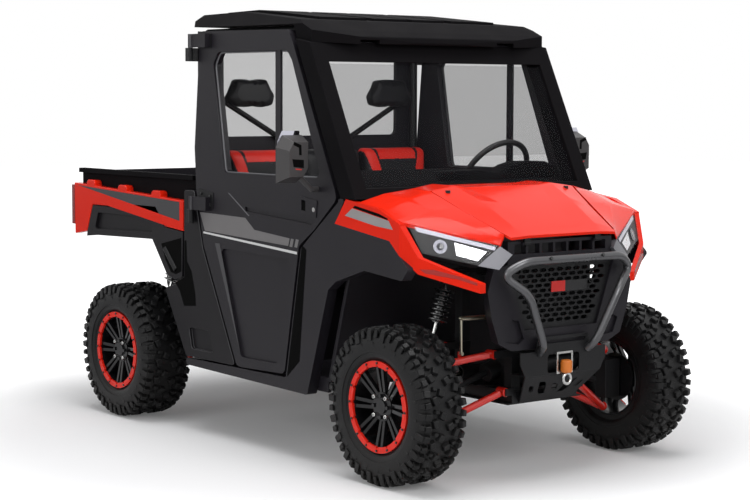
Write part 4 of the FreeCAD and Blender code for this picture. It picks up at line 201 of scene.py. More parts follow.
def coat_of(name, light, dark, rough, grain, depth, dust=0.12, **plain):
    """A finish between two tones, with its grain's scale and depth and a film of road dust."""
    finish = bpy.data.materials.new(name)
    finish.use_nodes = True
    tree = finish.node_tree
    skin = tree.nodes["Principled BSDF"]
    for socket, value in plain.items():
        skin.inputs[socket.replace("_", " ").title().replace("Ior", "IOR")].default_value = value
    tone = tree.nodes.new("ShaderNodeGroup")
    tone.node_tree = surface
    tone.inputs["Grain Scale"].default_value = grain
    tint = tree.nodes.new("ShaderNodeMix")
    tint.data_type = "RGBA"
    tint.inputs["A"].default_value = (*dark, 1)
    tint.inputs["B"].default_value = (*light, 1)
    film = tree.nodes.new("ShaderNodeMix")
    film.data_type = "RGBA"
    film.inputs["B"].default_value = (*ROAD_DUST, 1)
    thin = tree.nodes.new("ShaderNodeMath")
    thin.operation = "MULTIPLY"
    thin.inputs[1].default_value = dust
    gloss = tree.nodes.new("ShaderNodeMapRange")
    gloss.inputs["To Min"].default_value = rough * 0.85
    gloss.inputs["To Max"].default_value = min(rough * 1.2, 1.0)
    bump = tree.nodes.new("ShaderNodeBump")
    bump.inputs["Distance"].default_value = depth
    for a, b in (
        (tone.outputs["Tone"], tint.inputs["Factor"]),
        (tint.outputs["Result"], film.inputs["A"]),
        (tone.outputs["Dust"], thin.inputs[0]),
        (thin.outputs[0], film.inputs["Factor"]),
        (film.outputs["Result"], skin.inputs["Base Color"]),
        (tone.outputs["Tone"], gloss.inputs["Value"]),
        (gloss.outputs["Result"], skin.inputs["Roughness"]),
        (tone.outputs["Grain"], bump.inputs["Height"]),
        (bump.outputs["Normal"], skin.inputs["Normal"]),
    ):
        tree.links.new(a, b)
    return finish


# Tyres of a soft terrain tread. Each carcass is turned from its profile, then the moulded lugs
# of one pitch are shaped and repeated round the tread and down both shoulders.
tyre_rubber = coat_of(
    "tyre_rubber", (0.0095, 0.0095, 0.0100), (0.0045, 0.0045, 0.0050),
    rough=0.40, grain=300, depth=0.0006, dust=0.04, specular_ior_level=0.2,
)
TYRE_RADIUS = 0.343
TYRE_HALF = 0.116
PITCHES = 22
SIDEWALL = [
    (0.0000, 0.1788), (0.0900, 0.1788), (0.0915, 0.2000), (0.0985, 0.2040), (0.1040, 0.2120),
    (0.1060, 0.2125), (0.1090, 0.2200), (0.1108, 0.2320), (0.1140, 0.2330), (0.1146, 0.2400),
    (0.1146, 0.2620), (0.1128, 0.2800), (0.1085, 0.2980), (0.1010, 0.3120), (0.0880, 0.3210),
    (0.0600, 0.3250), (0.0000, 0.3265),
]


def only(piece):
    """Selects one piece and nothing else."""
    bpy.ops.object.select_all(action="DESELECT")
    piece.select_set(True)
    bpy.context.view_layer.objects.active = piece


def rolled(piece, width, steps, angle=30):
    """Rolls over those edges of a piece that turn by more than an angle."""
    only(piece)
    bevel = piece.modifiers.new("rolled_edge", "BEVEL")
    bevel.width = width
    bevel.segments = steps
    bevel.limit_method = "ANGLE"
    bevel.angle_limit = math.radians(angle)
    bpy.ops.object.modifier_apply(modifier=bevel.name)


def joined(pieces, name):
    """Several meshes made one, each with its own place kept."""
    bpy.ops.object.select_all(action="DESELECT")
    for piece in pieces:
        piece.select_set(True)
    bpy.context.view_layer.objects.active = pieces[0]
    if len(pieces) > 1:
        bpy.ops.object.join()
    whole = bpy.context.object
    whole.name = name
    return whole


def turned(name, centre, profile, steps):
    """A body of revolution about a sideways axis, from (across, radius) points of its profile."""
    bpy.ops.object.select_all(action="DESELECT")
    first = Vector((centre[0], centre[1] + profile[0][0], centre[2] + profile[0][1]))
    bpy.ops.mesh.primitive_plane_add(size=0.01, location=first)
    piece = bpy.context.object
    piece.name = name
    bpy.ops.object.mode_set(mode="EDIT")
    bpy.ops.mesh.select_mode(type="VERT")
    bpy.ops.mesh.merge(type="CENTER")
    bpy.ops.object.mode_set(mode="OBJECT")
    bpy.ops.object.transform_apply(location=True, rotation=True, scale=True)
    bpy.ops.object.mode_set(mode="EDIT")
    bpy.ops.mesh.select_all(action="SELECT")
    for near, far in zip(profile, profile[1:]):
        step = (0, far[0] - near[0], far[1] - near[1])
        bpy.ops.mesh.extrude_region_move(TRANSFORM_OT_translate={"value": step})
    bpy.ops.mesh.select_all(action="SELECT")
    bpy.ops.mesh.spin(steps=steps, angle=math.tau, center=centre, axis=(0, 1, 0))
    bpy.ops.mesh.select_all(action="SELECT")
    bpy.ops.mesh.remove_doubles(threshold=0.00002)
    bpy.ops.mesh.normals_make_consistent(inside=False)
    bpy.ops.object.mode_set(mode="OBJECT")
    return piece


def lug(across, along, rise, size, skew, lean, taper):
    """One moulded block, its top face narrower than its foot, at the tread's highest point."""
    bpy.ops.mesh.primitive_cube_add(size=1, location=(0, 0, 0), scale=size)
    block = bpy.context.object
    bpy.ops.object.mode_set(mode="EDIT")
    bpy.ops.mesh.select_all(action="DESELECT")
    bpy.ops.mesh.select_mode(type="FACE")
    bpy.ops.object.mode_set(mode="OBJECT")
    for face in block.data.polygons:
        face.select = face.normal.z > 0.9
    bpy.ops.object.mode_set(mode="EDIT")
    bpy.ops.transform.resize(value=(taper, taper, 1))
    bpy.ops.object.mode_set(mode="OBJECT")
    rolled(block, 0.0022, 1)
    block.rotation_euler = (math.radians(lean), 0, math.radians(skew))
    block.location = (0, across, rise)
    bpy.ops.object.transform_apply(location=True, rotation=True, scale=True)
    block.rotation_euler = (0, along / TYRE_RADIUS, 0)
    bpy.ops.object.transform_apply(location=True, rotation=True, scale=True)
    return block


# One pitch of the tread. Each block has its place across in metres and along in pitches, its
# height and size, its skew and lean in degrees, and how far its top narrows.
pitch = math.tau * TYRE_RADIUS / PITCHES
blocks = [
    lug(side * across, (along + lag) * pitch, rise, size, side * skew, side * lean, taper)
    for side, lag in ((1, 0.0), (-1, 0.5))
    for across, along, rise, size, skew, lean, taper in (
        (0.0210, 0.00, 0.3335, (0.036, 0.034, 0.019), 24, 0, 0.78),
        (0.0580, 0.32, 0.3325, (0.040, 0.030, 0.019), -18, -3, 0.78),
        (0.0520, -0.20, 0.3325, (0.020, 0.026, 0.019), 12, -3, 0.78),
        (0.0935, 0.00, 0.3270, (0.034, 0.034, 0.024), 6, -18, 0.78),
        (0.1100, 0.00, 0.3050, (0.030, 0.011, 0.046), 0, 8, 0.90),
        (0.0935, 0.50, 0.3270, (0.030, 0.030, 0.024), -8, -18, 0.78),
        (0.1105, 0.50, 0.3120, (0.022, 0.010, 0.030), 0, 8, 0.90),
        (0.1135, 0.25, 0.2660, (0.012, 0.004, 0.024), 0, -6, 0.90),
    )
]
tread = joined(blocks, "tyre_tread")
bpy.ops.object.mode_set(mode="EDIT")
bpy.ops.mesh.select_all(action="SELECT")
bpy.ops.mesh.spin(
    steps=PITCHES - 1,
    dupli=True,
    angle=math.tau * (PITCHES - 1) / PITCHES,
    center=(0, 0, 0),
    axis=(0, 1, 0),
)
bpy.ops.object.mode_set(mode="OBJECT")
far_half = [(-across, radius) for across, radius in reversed(SIDEWALL[1:-1])]
carcass = turned("tyre_carcass", (0, 0, 0), SIDEWALL + far_half + SIDEWALL[:1], 88)
bpy.ops.object.shade_smooth_by_angle(angle=math.radians(30))
tyre_pattern = joined([carcass, tread], "tyre_pattern")
tyre_pattern.data.materials.clear()
tyre_pattern.data.materials.append(tyre_rubber)

# One tyre stands on each wheel, wider on the rear axle.
WHEELS = {
    "front_right": (1.180, -0.685, 0.116),
    "front_left": (1.180, 0.685, 0.116),
    "rear_right": (-0.990, -0.668, 0.132),
    "rear_left": (-0.990, 0.668, 0.132),
}
for wheel, (x, y, half) in WHEELS.items():
    tyre = bpy.data.objects.new("tyre_" + wheel + "_moulded", tyre_pattern.data.copy())
    bpy.context.scene.collection.objects.link(tyre)
    tyre.data.transform(
        Matrix.Translation((x, y, TYRE_RADIUS)) @ Matrix.Diagonal((1, half / TYRE_HALF, 1, 1))
    )
    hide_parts("tyre_" + wheel)
    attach(tyre, "wheel_" + wheel)
bpy.data.objects.remove(tyre_pattern)

# Cast rims in gloss black. Each holds its tyre with a red bead ring, bolted on by a circle of
# small black screws, and has four bright wheel nuts round a cap in the middle.
rim_black = coat_of(
    "rim_gloss_black", (0.014, 0.014, 0.015), (0.004, 0.004, 0.005),
    rough=0.20, grain=900, depth=0.00005, dust=0.0, coat_weight=0.2, coat_roughness=0.06,
    specular_ior_level=0.25,
)
ring_red = coat_of(
    "bead_ring_red", (0.86, 0.022, 0.008), (0.76, 0.016, 0.006),
    rough=0.26, grain=900, depth=0.00003, dust=0.0, coat_weight=0.15, coat_roughness=0.10,
    specular_ior_level=0.2,
)
screw_black = coat_of(
    "screw_black", (0.020, 0.020, 0.021), (0.012, 0.012, 0.013),
    rough=0.35, grain=900, depth=0.00003,
)
bright_steel = coat_of(
    "bright_steel", (0.62, 0.62, 0.61), (0.46, 0.46, 0.45),
    rough=0.24, grain=800, depth=0.00004, metallic=1.0,
)


def rounded(node, width, finish, steps=2, angle=28):
    """A copy of a solid with its moulded edges rolled over, which stands for it."""
    source = frame["nodes"][node]
    piece = bpy.data.objects.new(node + "_moulded", source.data.copy())
    bpy.context.scene.collection.objects.link(piece)
    only(piece)
    bpy.ops.object.mode_set(mode="EDIT")
    bpy.ops.mesh.select_all(action="SELECT")
    bpy.ops.mesh.remove_doubles(threshold=0.00003)
    bpy.ops.mesh.dissolve_limited(angle_limit=math.radians(1.5))
    bpy.ops.object.mode_set(mode="OBJECT")
    rolled(piece, width, steps, angle)
    bpy.ops.object.shade_smooth_by_angle(angle=math.radians(40))
    weights = piece.modifiers.new("flat_faces", "WEIGHTED_NORMAL")
    weights.keep_sharp = True
    bpy.ops.object.modifier_apply(modifier=weights.name)
    piece.data.materials.clear()
    piece.data.materials.append(finish)
    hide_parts(node)
    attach(piece, source["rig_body"])
    return piece


def meeting(node, spot, facing):
    """Where a line through a spot, along a facing, meets a solid from outside."""
    mesh = frame["nodes"][node].data
    tree = BVHTree.FromPolygons([v.co for v in mesh.vertices], [f.vertices for f in mesh.polygons])
    facing = Vector(facing).normalized()
    return tree.ray_cast(Vector(spot) + facing, -facing)[0]


def stood(pattern, name, spots, facing):
    """Copies of a pattern modelled upright at the origin, stood on spots of a surface."""
    turn = Vector(facing).to_track_quat("Z", "Y").to_matrix().to_4x4()
    copies = []
    for spot in spots:
        copy = bpy.data.objects.new(name, pattern.data.copy())
        bpy.context.scene.collection.objects.link(copy)
        copy.data.transform(Matrix.Translation(spot) @ turn)
        copies.append(copy)
    return joined(copies, name)


def screw_head(radius, rise, sides=6, socket=0.45):
    """A screw head with a chamfered rim and a sunk drive socket, upright at the origin."""
    chamfer = 0.16
    bpy.ops.object.select_all(action="DESELECT")
    bpy.ops.mesh.primitive_cylinder_add(
        vertices=sides, radius=radius, depth=rise, location=(0, 0, rise / 2)
    )
    head = bpy.context.object
    bpy.ops.object.transform_apply(location=True, rotation=True, scale=True)
    for face in head.data.polygons:
        face.select = face.normal.z > 0.9
    bpy.ops.object.mode_set(mode="EDIT")
    bpy.ops.mesh.select_mode(type="FACE")
    bpy.ops.mesh.inset(thickness=radius * chamfer, depth=0)
    bpy.ops.transform.translate(value=(0, 0, rise * 0.22))
    bpy.ops.mesh.inset(thickness=radius * (1 - chamfer - socket), depth=0)
    bpy.ops.mesh.extrude_region_move(TRANSFORM_OT_translate={"value": (0, 0, -rise * 0.5)})
    bpy.ops.object.mode_set(mode="OBJECT")
    return head


def fitted(piece, body, finish, slot, *nodes):
    """Finishes a new piece and says what it rides on and the solids it stands for. Its slot is not
    used.
    """
    piece.data.materials.clear()
    piece.data.materials.append(finish)
    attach(piece, body)
    if nodes:
        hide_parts(*nodes)


def circle(centre, radius, count, lead=0.0):
    """Points spaced evenly round an upright circle, from a lead given in their own spacing."""
    x, y, z = centre
    turns = [math.tau * (k + lead) / count for k in range(count)]
    return [Vector((x + radius * math.cos(t), y, z + radius * math.sin(t))) for t in turns]


RING_SCREWS, RING_SCREW_CIRCLE = 16, 0.1875
WHEEL_NUTS, WHEEL_NUT_CIRCLE = 4, 0.055
ring_screw = screw_head(0.0052, 0.004)
wheel_nut = screw_head(0.0100, 0.015, 6, 0.5)
for wheel, (x, y, half) in WHEELS.items():
    outward = Vector((0, math.copysign(1, y), 0))
    rounded("rim_" + wheel, 0.0022, rim_black, 2)
    rounded("bead_ring_" + wheel, 0.0015, ring_red, 2)
    low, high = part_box("bead_ring_" + wheel)
    face = high[1] if y > 0 else low[1]
    height = (low[2] + high[2]) / 2
    spots = circle((x, face, height), RING_SCREW_CIRCLE, RING_SCREWS)
    screws = stood(ring_screw, "ring_screws_" + wheel, spots, outward)
    fitted(screws, "wheel_" + wheel, screw_black, "rim")
    spots = [
        meeting("rim_" + wheel, spot, outward) - outward * 0.0005
        for spot in circle((x, y, height), WHEEL_NUT_CIRCLE, WHEEL_NUTS, 0.5)
    ]
    nuts = stood(wheel_nut, "wheel_nuts_" + wheel, spots, outward)
    fitted(nuts, "wheel_" + wheel, bright_steel, "rim")
bpy.data.objects.remove(ring_screw)
bpy.data.objects.remove(wheel_nut)

# Front and rear suspension. Red welded wishbones carry black knuckles, black coil-overs with
# bright rods stand on the upper ones, and a plated stabiliser bar links the front pair.
arm_red = coat_of(
    "wishbone_red", (0.74, 0.018, 0.008), (0.62, 0.012, 0.005),
    rough=0.30, grain=800, depth=0.00004, dust=0.08, coat_weight=0.5, coat_roughness=0.10,
)
cast_black = coat_of(
    "cast_black", (0.013, 0.013, 0.014), (0.008, 0.008, 0.009),
    rough=0.48, grain=500, depth=0.0003, dust=0.05, specular_ior_level=0.2,
)
spring_black = coat_of(
    "spring_black", (0.018, 0.018, 0.019), (0.010, 0.010, 0.011),
    rough=0.25, grain=700, depth=0.00005, dust=0.2, coat_weight=0.4,
)
pale_plate = coat_of(
    "pale_zinc_plate", (0.62, 0.58, 0.46), (0.48, 0.44, 0.34),
    rough=0.30, grain=700, depth=0.00005, metallic=1.0,
)


def second_finish(piece, finish, chosen):
    """Puts one more finish on the faces that a test of their middle and normal picks."""
    piece.data.materials.append(finish)
    last = len(piece.data.materials) - 1
    for face in piece.data.polygons:
        if chosen(face.center, face.normal):
            face.material_index = last


rounded("suspension_arms", 0.0015, arm_red, 2)
for node in ("knuckle_right", "knuckle_left", "rear_knuckles"):
    rounded(node, 0.004, cast_black, 2)
# Rods, collars and eyes of the coil-overs lie below their springs.
SPRING_FOOT = 0.662
springs = rounded("shocks", 0.0008, spring_black, 1)
second_finish(springs, bright_steel, lambda middle, normal: middle.z < SPRING_FOOT)
for node in ("stabiliser", "tie_rod_right", "tie_rod_left"):
    rounded(node, 0.0008, pale_plate, 1)
for node in ("steering_rack", "powertrain", "muffler"):
    rounded(node, 0.003, cast_black, 2)

# The welded tube and rail frame under the body, its skid plate and the tow receiver, all powder
# coated in black and dusty from the road.
powder_black = coat_of(
    "powder_black", (0.013, 0.013, 0.014), (0.008, 0.008, 0.009),
    rough=0.42, grain=600, depth=0.00015, dust=0.05, specular_ior_level=0.2,
)
for node, width in (
    ("frame", 0.002), ("skid_plate", 0.001), ("hitch", 0.003), ("hinge_brackets", 0.002),
):
    rounded(node, width, powder_black, 2)

# The cab shell: moulded side panels, quarters, floor and rear wall in a dark textured plastic,
# under a ribbed roof, with the roll cage tubes showing inside through the glass.
cab_plastic = coat_of(
    "cab_textured_black", (0.0148, 0.0132, 0.0170), (0.0098, 0.0086, 0.0116),
    rough=0.38, grain=520, depth=0.00030, dust=0.03, specular_ior_level=0.21,
)
quarter_black = coat_of(
    "quarter_textured_black", (0.0110, 0.0100, 0.0120), (0.0075, 0.0068, 0.0084),
    rough=0.42, grain=520, depth=0.00030, dust=0.03, specular_ior_level=0.15,
)
# Paler grey painted on the rolled edges of the cab and door side panels, as a painted highlight.
painted_edge_highlight = coat_of(
    "edge_highlight_grey", (0.046, 0.045, 0.050), (0.036, 0.035, 0.040),
    rough=0.34, grain=520, depth=0.0002, dust=0.0,
)


def lit_edge(middle, normal):
    """The rolled edges of an upright side panel, with a painted highlight paler than its flat."""
    return 0.25 < abs(normal.y) < 0.93


second_finish(rounded("rear_quarters", 0.005, quarter_black, 3), painted_edge_highlight, lit_edge)
second_finish(rounded("side_panels", 0.006, cab_plastic, 3), painted_edge_highlight, lit_edge)
roof_black = coat_of(
    "roof_textured_black", (0.0058, 0.0053, 0.0062), (0.0038, 0.0034, 0.0041),
    rough=0.80, grain=520, depth=0.00030, dust=0.0, specular_ior_level=0.06,
)
rounded("roof", 0.010, roof_black, 3, 20)
rounded("windscreen_frame", 0.005, roof_black, 3)
rounded("floor_pan", 0.004, cab_plastic, 2)
rounded("rear_wall", 0.004, cab_plastic, 2)
rounded("cage", 0.001, powder_black, 1)


# Smoked safety glass, clear enough to show the cab's inside and the far windows. The left pane and
# the rear window are darker than the windscreen, and the right pane is the clearest.
def smoked(name, cover):
    """Glass whose smoke hides a share of what lies behind each of its faces."""
    return coat_of(
        name, (0.010, 0.010, 0.012), (0.006, 0.006, 0.008), rough=0.03, grain=30, depth=0.0,
        dust=0.0, alpha=cover, specular_ior_level=0.12,
    )


def dress(node, finish):
    """The solid's own mesh shows, with this finish on it."""
    piece = frame["nodes"][node]
    piece.data.materials.clear()
    piece.data.materials.append(finish)


panes = rounded("glazing", 0.0006, smoked("screen_glass", 0.17), 1)
second_finish(panes, smoked("rear_glass", 0.23), lambda middle, normal: middle.x < 0)
dress("door_glass_right", smoked("door_glass_tint", 0.10))
dress("door_glass_left", smoked("far_glass_tint", 0.27))

# Doors: one moulding each side with a gasket round its window, a pressed recess, a grey stripe
# band with a white line under it, a sunk handle with its lock, and bolted hinge plates. Black
# plates paint the shade in the shut groove and in the sunk handle, and pale plates and edges
# paint highlights on the recess flank, the belt crease and the rolled edges.
stripe_grey = coat_of(
    "stripe_grey", (0.175, 0.168, 0.170), (0.140, 0.134, 0.136),
    rough=0.32, grain=900, depth=0.00004,
)
line_white = coat_of(
    "line_white", (0.72, 0.72, 0.72), (0.62, 0.62, 0.62),
    rough=0.32, grain=900, depth=0.00004,
)
# Pale grey painted as a highlight along the door's belt crease, and on the window gasket, where it
# is partly the seal's own colour.
seal_grey_and_highlight = coat_of(
    "seal_grey_and_painted_highlight", (0.13, 0.13, 0.14), (0.10, 0.10, 0.11),
    rough=0.30, grain=520, depth=0.0001, dust=0.0,
)
# Near black, painted as the shade in the handle slot, the shut groove, the mirror hollows and the
# openings behind the door, and the own black of the fender's printed dashes.
painted_shade_and_decal_black = coat_of(
    "painted_shade_and_decal_black", (0.004, 0.004, 0.004), (0.002, 0.002, 0.002),
    rough=0.9, grain=500, depth=0.0002, dust=0.0, specular_ior_level=0.04,
)


def outlined(name, points, depth):
    """A flat plate: its outline is drawn corner by corner, filled, and pulled out by a depth."""
    bpy.ops.object.select_all(action="DESELECT")
    bpy.ops.mesh.primitive_plane_add(size=0.001, location=points[0])
    plate = bpy.context.object
    plate.name = name
    bpy.ops.object.transform_apply(location=True, rotation=True, scale=True)
    bpy.ops.object.mode_set(mode="EDIT")
    bpy.ops.mesh.select_mode(type="VERT")
    bpy.ops.mesh.select_all(action="SELECT")
    bpy.ops.mesh.merge(type="CENTER")
    for near, far in zip(points, points[1:]):
        step = Vector(far) - Vector(near)
        bpy.ops.mesh.extrude_region_move(TRANSFORM_OT_translate={"value": step})
    bpy.ops.mesh.select_all(action="SELECT")
    bpy.ops.mesh.edge_face_add()
    bpy.ops.mesh.extrude_region_move(TRANSFORM_OT_translate={"value": Vector(depth)})
    bpy.ops.mesh.select_all(action="SELECT")
    bpy.ops.mesh.normals_make_consistent(inside=False)
    bpy.ops.object.mode_set(mode="OBJECT")
    return plate


def swept(name, points, radius, bend, steps=8):
    """A round tube along a line of points, with every corner bent to an even curve."""
    line = [Vector(points[0])]
    for before, corner, after in zip(points, points[1:], points[2:]):
        before, corner, after = Vector(before), Vector(corner), Vector(after)
        start = corner + (before - corner).normalized() * min(bend, (before - corner).length * 0.45)
        end = corner + (after - corner).normalized() * min(bend, (after - corner).length * 0.45)
        for k in range(steps + 1):
            share = k / steps
            line.append(start.lerp(corner, share).lerp(corner.lerp(end, share), share))
    line.append(Vector(points[-1]))
    path = bpy.data.curves.new(name, "CURVE")
    path.dimensions = "3D"
    path.bevel_depth = radius
    path.bevel_resolution = 6
    path.use_fill_caps = True
    run = path.splines.new("POLY")
    run.points.add(len(line) - 1)
    for point, place in zip(run.points, line):
        point.co = (*place, 1)
    tube = bpy.data.objects.new(name, path)
    bpy.context.scene.collection.objects.link(tube)
    only(tube)
    bpy.ops.object.convert(target="MESH")
    bpy.ops.object.shade_smooth_by_angle(angle=math.radians(40))
    return bpy.context.object


def both_sides(piece, finish, bodies, slot="black"):
    """Fits a right-hand piece to its body, and the same piece on the vehicle's left to its own."""
    twin = bpy.data.objects.new(piece.name.replace("right", "left"), piece.data.copy())
    bpy.context.scene.collection.objects.link(twin)
    twin.data.transform(Matrix.Diagonal((1, -1, 1, 1)))
    only(twin)
    bpy.ops.object.mode_set(mode="EDIT")
    bpy.ops.mesh.select_all(action="SELECT")
    bpy.ops.mesh.normals_make_consistent(inside=False)
    bpy.ops.object.mode_set(mode="OBJECT")
    fitted(piece, bodies[0], finish, slot)
    fitted(twin, bodies[1], finish, slot)


# The right door, fender and bed side are flat outside, in one upright plane.
DOORS = ("door_right", "door_left")
CHASSIS = ("chassis", "chassis")
FLANK = -0.7199
FILM = 0.0008


def on_flank(name, corners, rise=FILM):
    """A thin plate on the flat of the right side, from its corners along and up."""
    return outlined(name, [(x, FLANK, z) for x, z in corners], (0, -rise, 0))


for node in ("door_panel_right", "door_panel_left"):
    second_finish(rounded(node, 0.0045, cab_plastic, 3), painted_edge_highlight, lit_edge)
for name, finish, rise, corners in (
    (
        "stripe_band", stripe_grey, FILM,
        [
            (-0.294, 1.089), (0.095, 1.082), (0.170, 1.030), (0.452, 1.008), (0.440, 0.973),
            (-0.250, 1.001),
        ],
    ),
    (
        "stripe_bar_0", stripe_grey, FILM,
        [(0.462, 1.008), (0.484, 1.006), (0.472, 0.970), (0.450, 0.971)],
    ),
    (
        "stripe_bar_1", stripe_grey, FILM,
        [(0.500, 1.008), (0.522, 1.006), (0.510, 0.970), (0.488, 0.971)],
    ),
    (
        "white_line", line_white, FILM,
        [(-0.262, 0.997), (0.508, 0.951), (0.508, 0.939), (-0.265, 0.988)],
    ),
    # A black plate paints the shade inside the sunk handle.
    (
        "handle_slot_shade", painted_shade_and_decal_black, FILM * 1.5,
        [(0.548, 1.182), (0.602, 1.176), (0.601, 1.128), (0.547, 1.134)],
    ),
    # A pale plate paints the highlight on the lit flank of the door's recess.
    ("recess_flank_highlight", painted_edge_highlight, FILM, [(-0.162, 0.946), (-0.122, 0.947), (0.050, 0.440)]),
    # A pale plate paints the highlight along the belt crease.
    (
        "belt_crease_highlight", seal_grey_and_highlight, FILM,
        [(-0.0480, 1.1920), (-0.0410, 1.1935), (0.1290, 1.0945), (0.1220, 1.0915)],
    ),
):
    both_sides(on_flank(name + "_right", corners, rise), finish, DOORS)
window_line = [
    (0.200, 1.2895), (0.664, 1.2910), (0.668, 1.3230), (0.466, 1.8100), (0.424, 1.8530),
    (-0.126, 1.8530), (-0.168, 1.7960), (-0.083, 1.2895), (0.200, 1.2895),
]
# The gasket's pale grey is partly its own seal colour and partly a painted highlight on the
# window's inner edge.
gasket_line = [(x, FLANK + 0.0134, z) for x, z in window_line]
gasket = swept("window_gasket_right", gasket_line, radius=0.0042, bend=0.02)
both_sides(gasket, seal_grey_and_highlight, DOORS)
# A black plate paints the shade in the shut groove along the door's front and lower edges.
groove_shade_outline = [(0.546, 0.985), (0.580, 0.965), (0.528, 0.455), (0.430, 0.373)]
both_sides(on_flank("shut_groove_right", groove_shade_outline), painted_shade_and_decal_black, CHASSIS)
lock = screw_head(0.0105, 0.005, 20, 0.6)
lock_seat = (0.640, FLANK + 0.0002, 1.148)
both_sides(stood(lock, "door_lock_right", [lock_seat], (0, -1, 0)), bright_steel, DOORS)
bpy.data.objects.remove(lock)
HINGE_RISE = 0.003
hinge_screw = screw_head(0.0075, 0.005)
for name, corners, spots in (
    (
        "low",
        [(-0.300, 1.203), (-0.173, 1.187), (-0.174, 1.110), (-0.300, 1.115)],
        [(-0.275, 1.180), (-0.200, 1.170), (-0.275, 1.132), (-0.200, 1.128)],
    ),
    (
        "high",
        [(-0.300, 1.958), (-0.186, 1.945), (-0.186, 1.875), (-0.300, 1.880)],
        [(-0.275, 1.937), (-0.210, 1.930), (-0.275, 1.898), (-0.210, 1.895)],
    ),
):
    plate = on_flank("hinge_plate_%s_right" % name, corners, HINGE_RISE)
    both_sides(plate, powder_black, DOORS)
    heads = [(x, FLANK - HINGE_RISE + 0.0001, z) for x, z in spots]
    screws = stood(hinge_screw, "hinge_screws_%s_right" % name, heads, (0, -1, 0))
    both_sides(screws, screw_black, DOORS)
bpy.data.objects.remove(hinge_screw)

# Mirrors: dark moulded housings on short arms from the doors, with two hollows painted in front
# as black shade plates and a small red mark, and silvered glass behind.
mirror_plastic = coat_of(
    "mirror_plastic", (0.044, 0.041, 0.042), (0.034, 0.032, 0.033),
    rough=0.42, grain=520, depth=0.00030, dust=0.0,
)
mirror_glass = coat_of(
    "mirror_glass", (0.60, 0.60, 0.66), (0.52, 0.52, 0.60),
    rough=0.04, grain=500, depth=0.0, dust=0.0, metallic=1.0,
)
mark_red = coat_of(
    "mark_red", (0.62, 0.030, 0.022), (0.54, 0.022, 0.016),
    rough=0.3, grain=700, depth=0.00003, dust=0.0,
)
for node in ("mirror_right", "mirror_left"):
    rounded(node, 0.009, mirror_plastic, 3)
# The housing alone is measured from its outer side, because the mirror's box holds the arm too.
low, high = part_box("mirror_right")
HOUSING_HALF = 0.070
HOUSING_HEIGHT = 1.405
for name, x, thick, finish, corners in (
    (
        "glass", low[0] - 0.0006, -0.0012, mirror_glass,
        [
            (-0.060, 0.048), (-0.036, 0.094), (0.058, 0.094), (0.060, -0.048), (0.036, -0.094),
            (-0.058, -0.094),
        ],
    ),
    # Black plates paint the shade in the housing's two hollows.
    (
        "hollow_high_shade", high[0] - 0.0002, FILM, painted_shade_and_decal_black,
        [
            (-0.0253, 0.0483), (0.0138, 0.0336), (0.0161, -0.0105), (0.0023, -0.0105),
            (0.00115, 0.02205), (-0.0299, 0.03465),
        ],
    ),
    (
        "hollow_low_shade", high[0] - 0.0002, FILM, painted_shade_and_decal_black,
        [(-0.0345, -0.0273), (0.0276, -0.0315), (0.0276, -0.0672), (-0.0276, -0.0609)],
    ),
    (
        "mark", high[0] - 0.0002, FILM, mark_red,
        [(-0.0184, -0.067725), (0.0161, -0.070875), (0.0161, -0.076125), (-0.0161, -0.072975)],
    ),
):
    outline = [(x, low[1] + HOUSING_HALF + y, HOUSING_HEIGHT + z) for y, z in corners]
    both_sides(outlined("mirror_%s_right" % name, outline, (thick, 0, 0)), finish, DOORS)

# Seats: three foam cushions and three backs under vinyl, black with a red band across the top of
# each outer back and red side wedges, on the moulded seat box.
seat_black = coat_of(
    "seat_vinyl_black", (0.012, 0.012, 0.014), (0.008, 0.008, 0.009),
    rough=0.42, grain=350, depth=0.0005, dust=0.05, specular_ior_level=0.2,
)
seat_red = coat_of(
    "seat_vinyl_red", (0.90, 0.030, 0.018), (0.80, 0.022, 0.012),
    rough=0.42, grain=350, depth=0.0005, dust=0.0, specular_ior_level=0.25,
)

AIR_PRESSURE = 4.0


def stuffed(piece, voxel, cap):
    """Vinyl over foam: an even skin that air swells a little between its corners."""
    only(piece)
    skin = piece.modifiers.new("even_skin", "REMESH")
    skin.mode = "VOXEL"
    skin.voxel_size = voxel
    bpy.ops.object.modifier_apply(modifier=skin.name)
    before = [vertex.co.copy() for vertex in piece.data.vertices]
    swell = piece.modifiers.new("swell", "CLOTH")
    swell.settings.use_pressure = True
    swell.settings.uniform_pressure_force = AIR_PRESSURE
    swell.settings.effector_weights.gravity = 0
    for step in range(1, 21):
        bpy.context.scene.frame_set(step)
    bpy.ops.object.modifier_apply(modifier=swell.name)
    bpy.context.scene.frame_set(1)
    for vertex, start in zip(piece.data.vertices, before):
        move = vertex.co - start
        if move.length > cap:
            vertex.co = start + move * (cap / move.length)
    finer = piece.modifiers.new("finer", "SUBSURF")
    finer.levels = finer.render_levels = 1
    bpy.ops.object.modifier_apply(modifier=finer.name)
    bpy.ops.object.shade_smooth()


SEAM_DEPTH = 0.008
SEAM_HALF = 0.010


def stitched(piece, axis, places):
    """Presses sewn channels into a stuffed piece, across one axis."""
    presses = []
    for vertex in piece.data.vertices:
        for place in places:
            off = abs(vertex.co[axis] - place)
            if off < SEAM_HALF:
                press = SEAM_DEPTH * (1 - off / SEAM_HALF) ** 2
                presses.append((vertex.index, vertex.normal * press))
    for index, press in presses:
        piece.data.vertices[index].co -= press


def foam_block(name, side, corners, edge):
    """A foam block with rolled edges, from its outline in the middle plane and its side limits."""
    inner, outer = side
    block = outlined(name, [(x, inner, z) for x, z in corners], (0, outer - inner, 0))
    rolled(block, edge, 4)
    return block


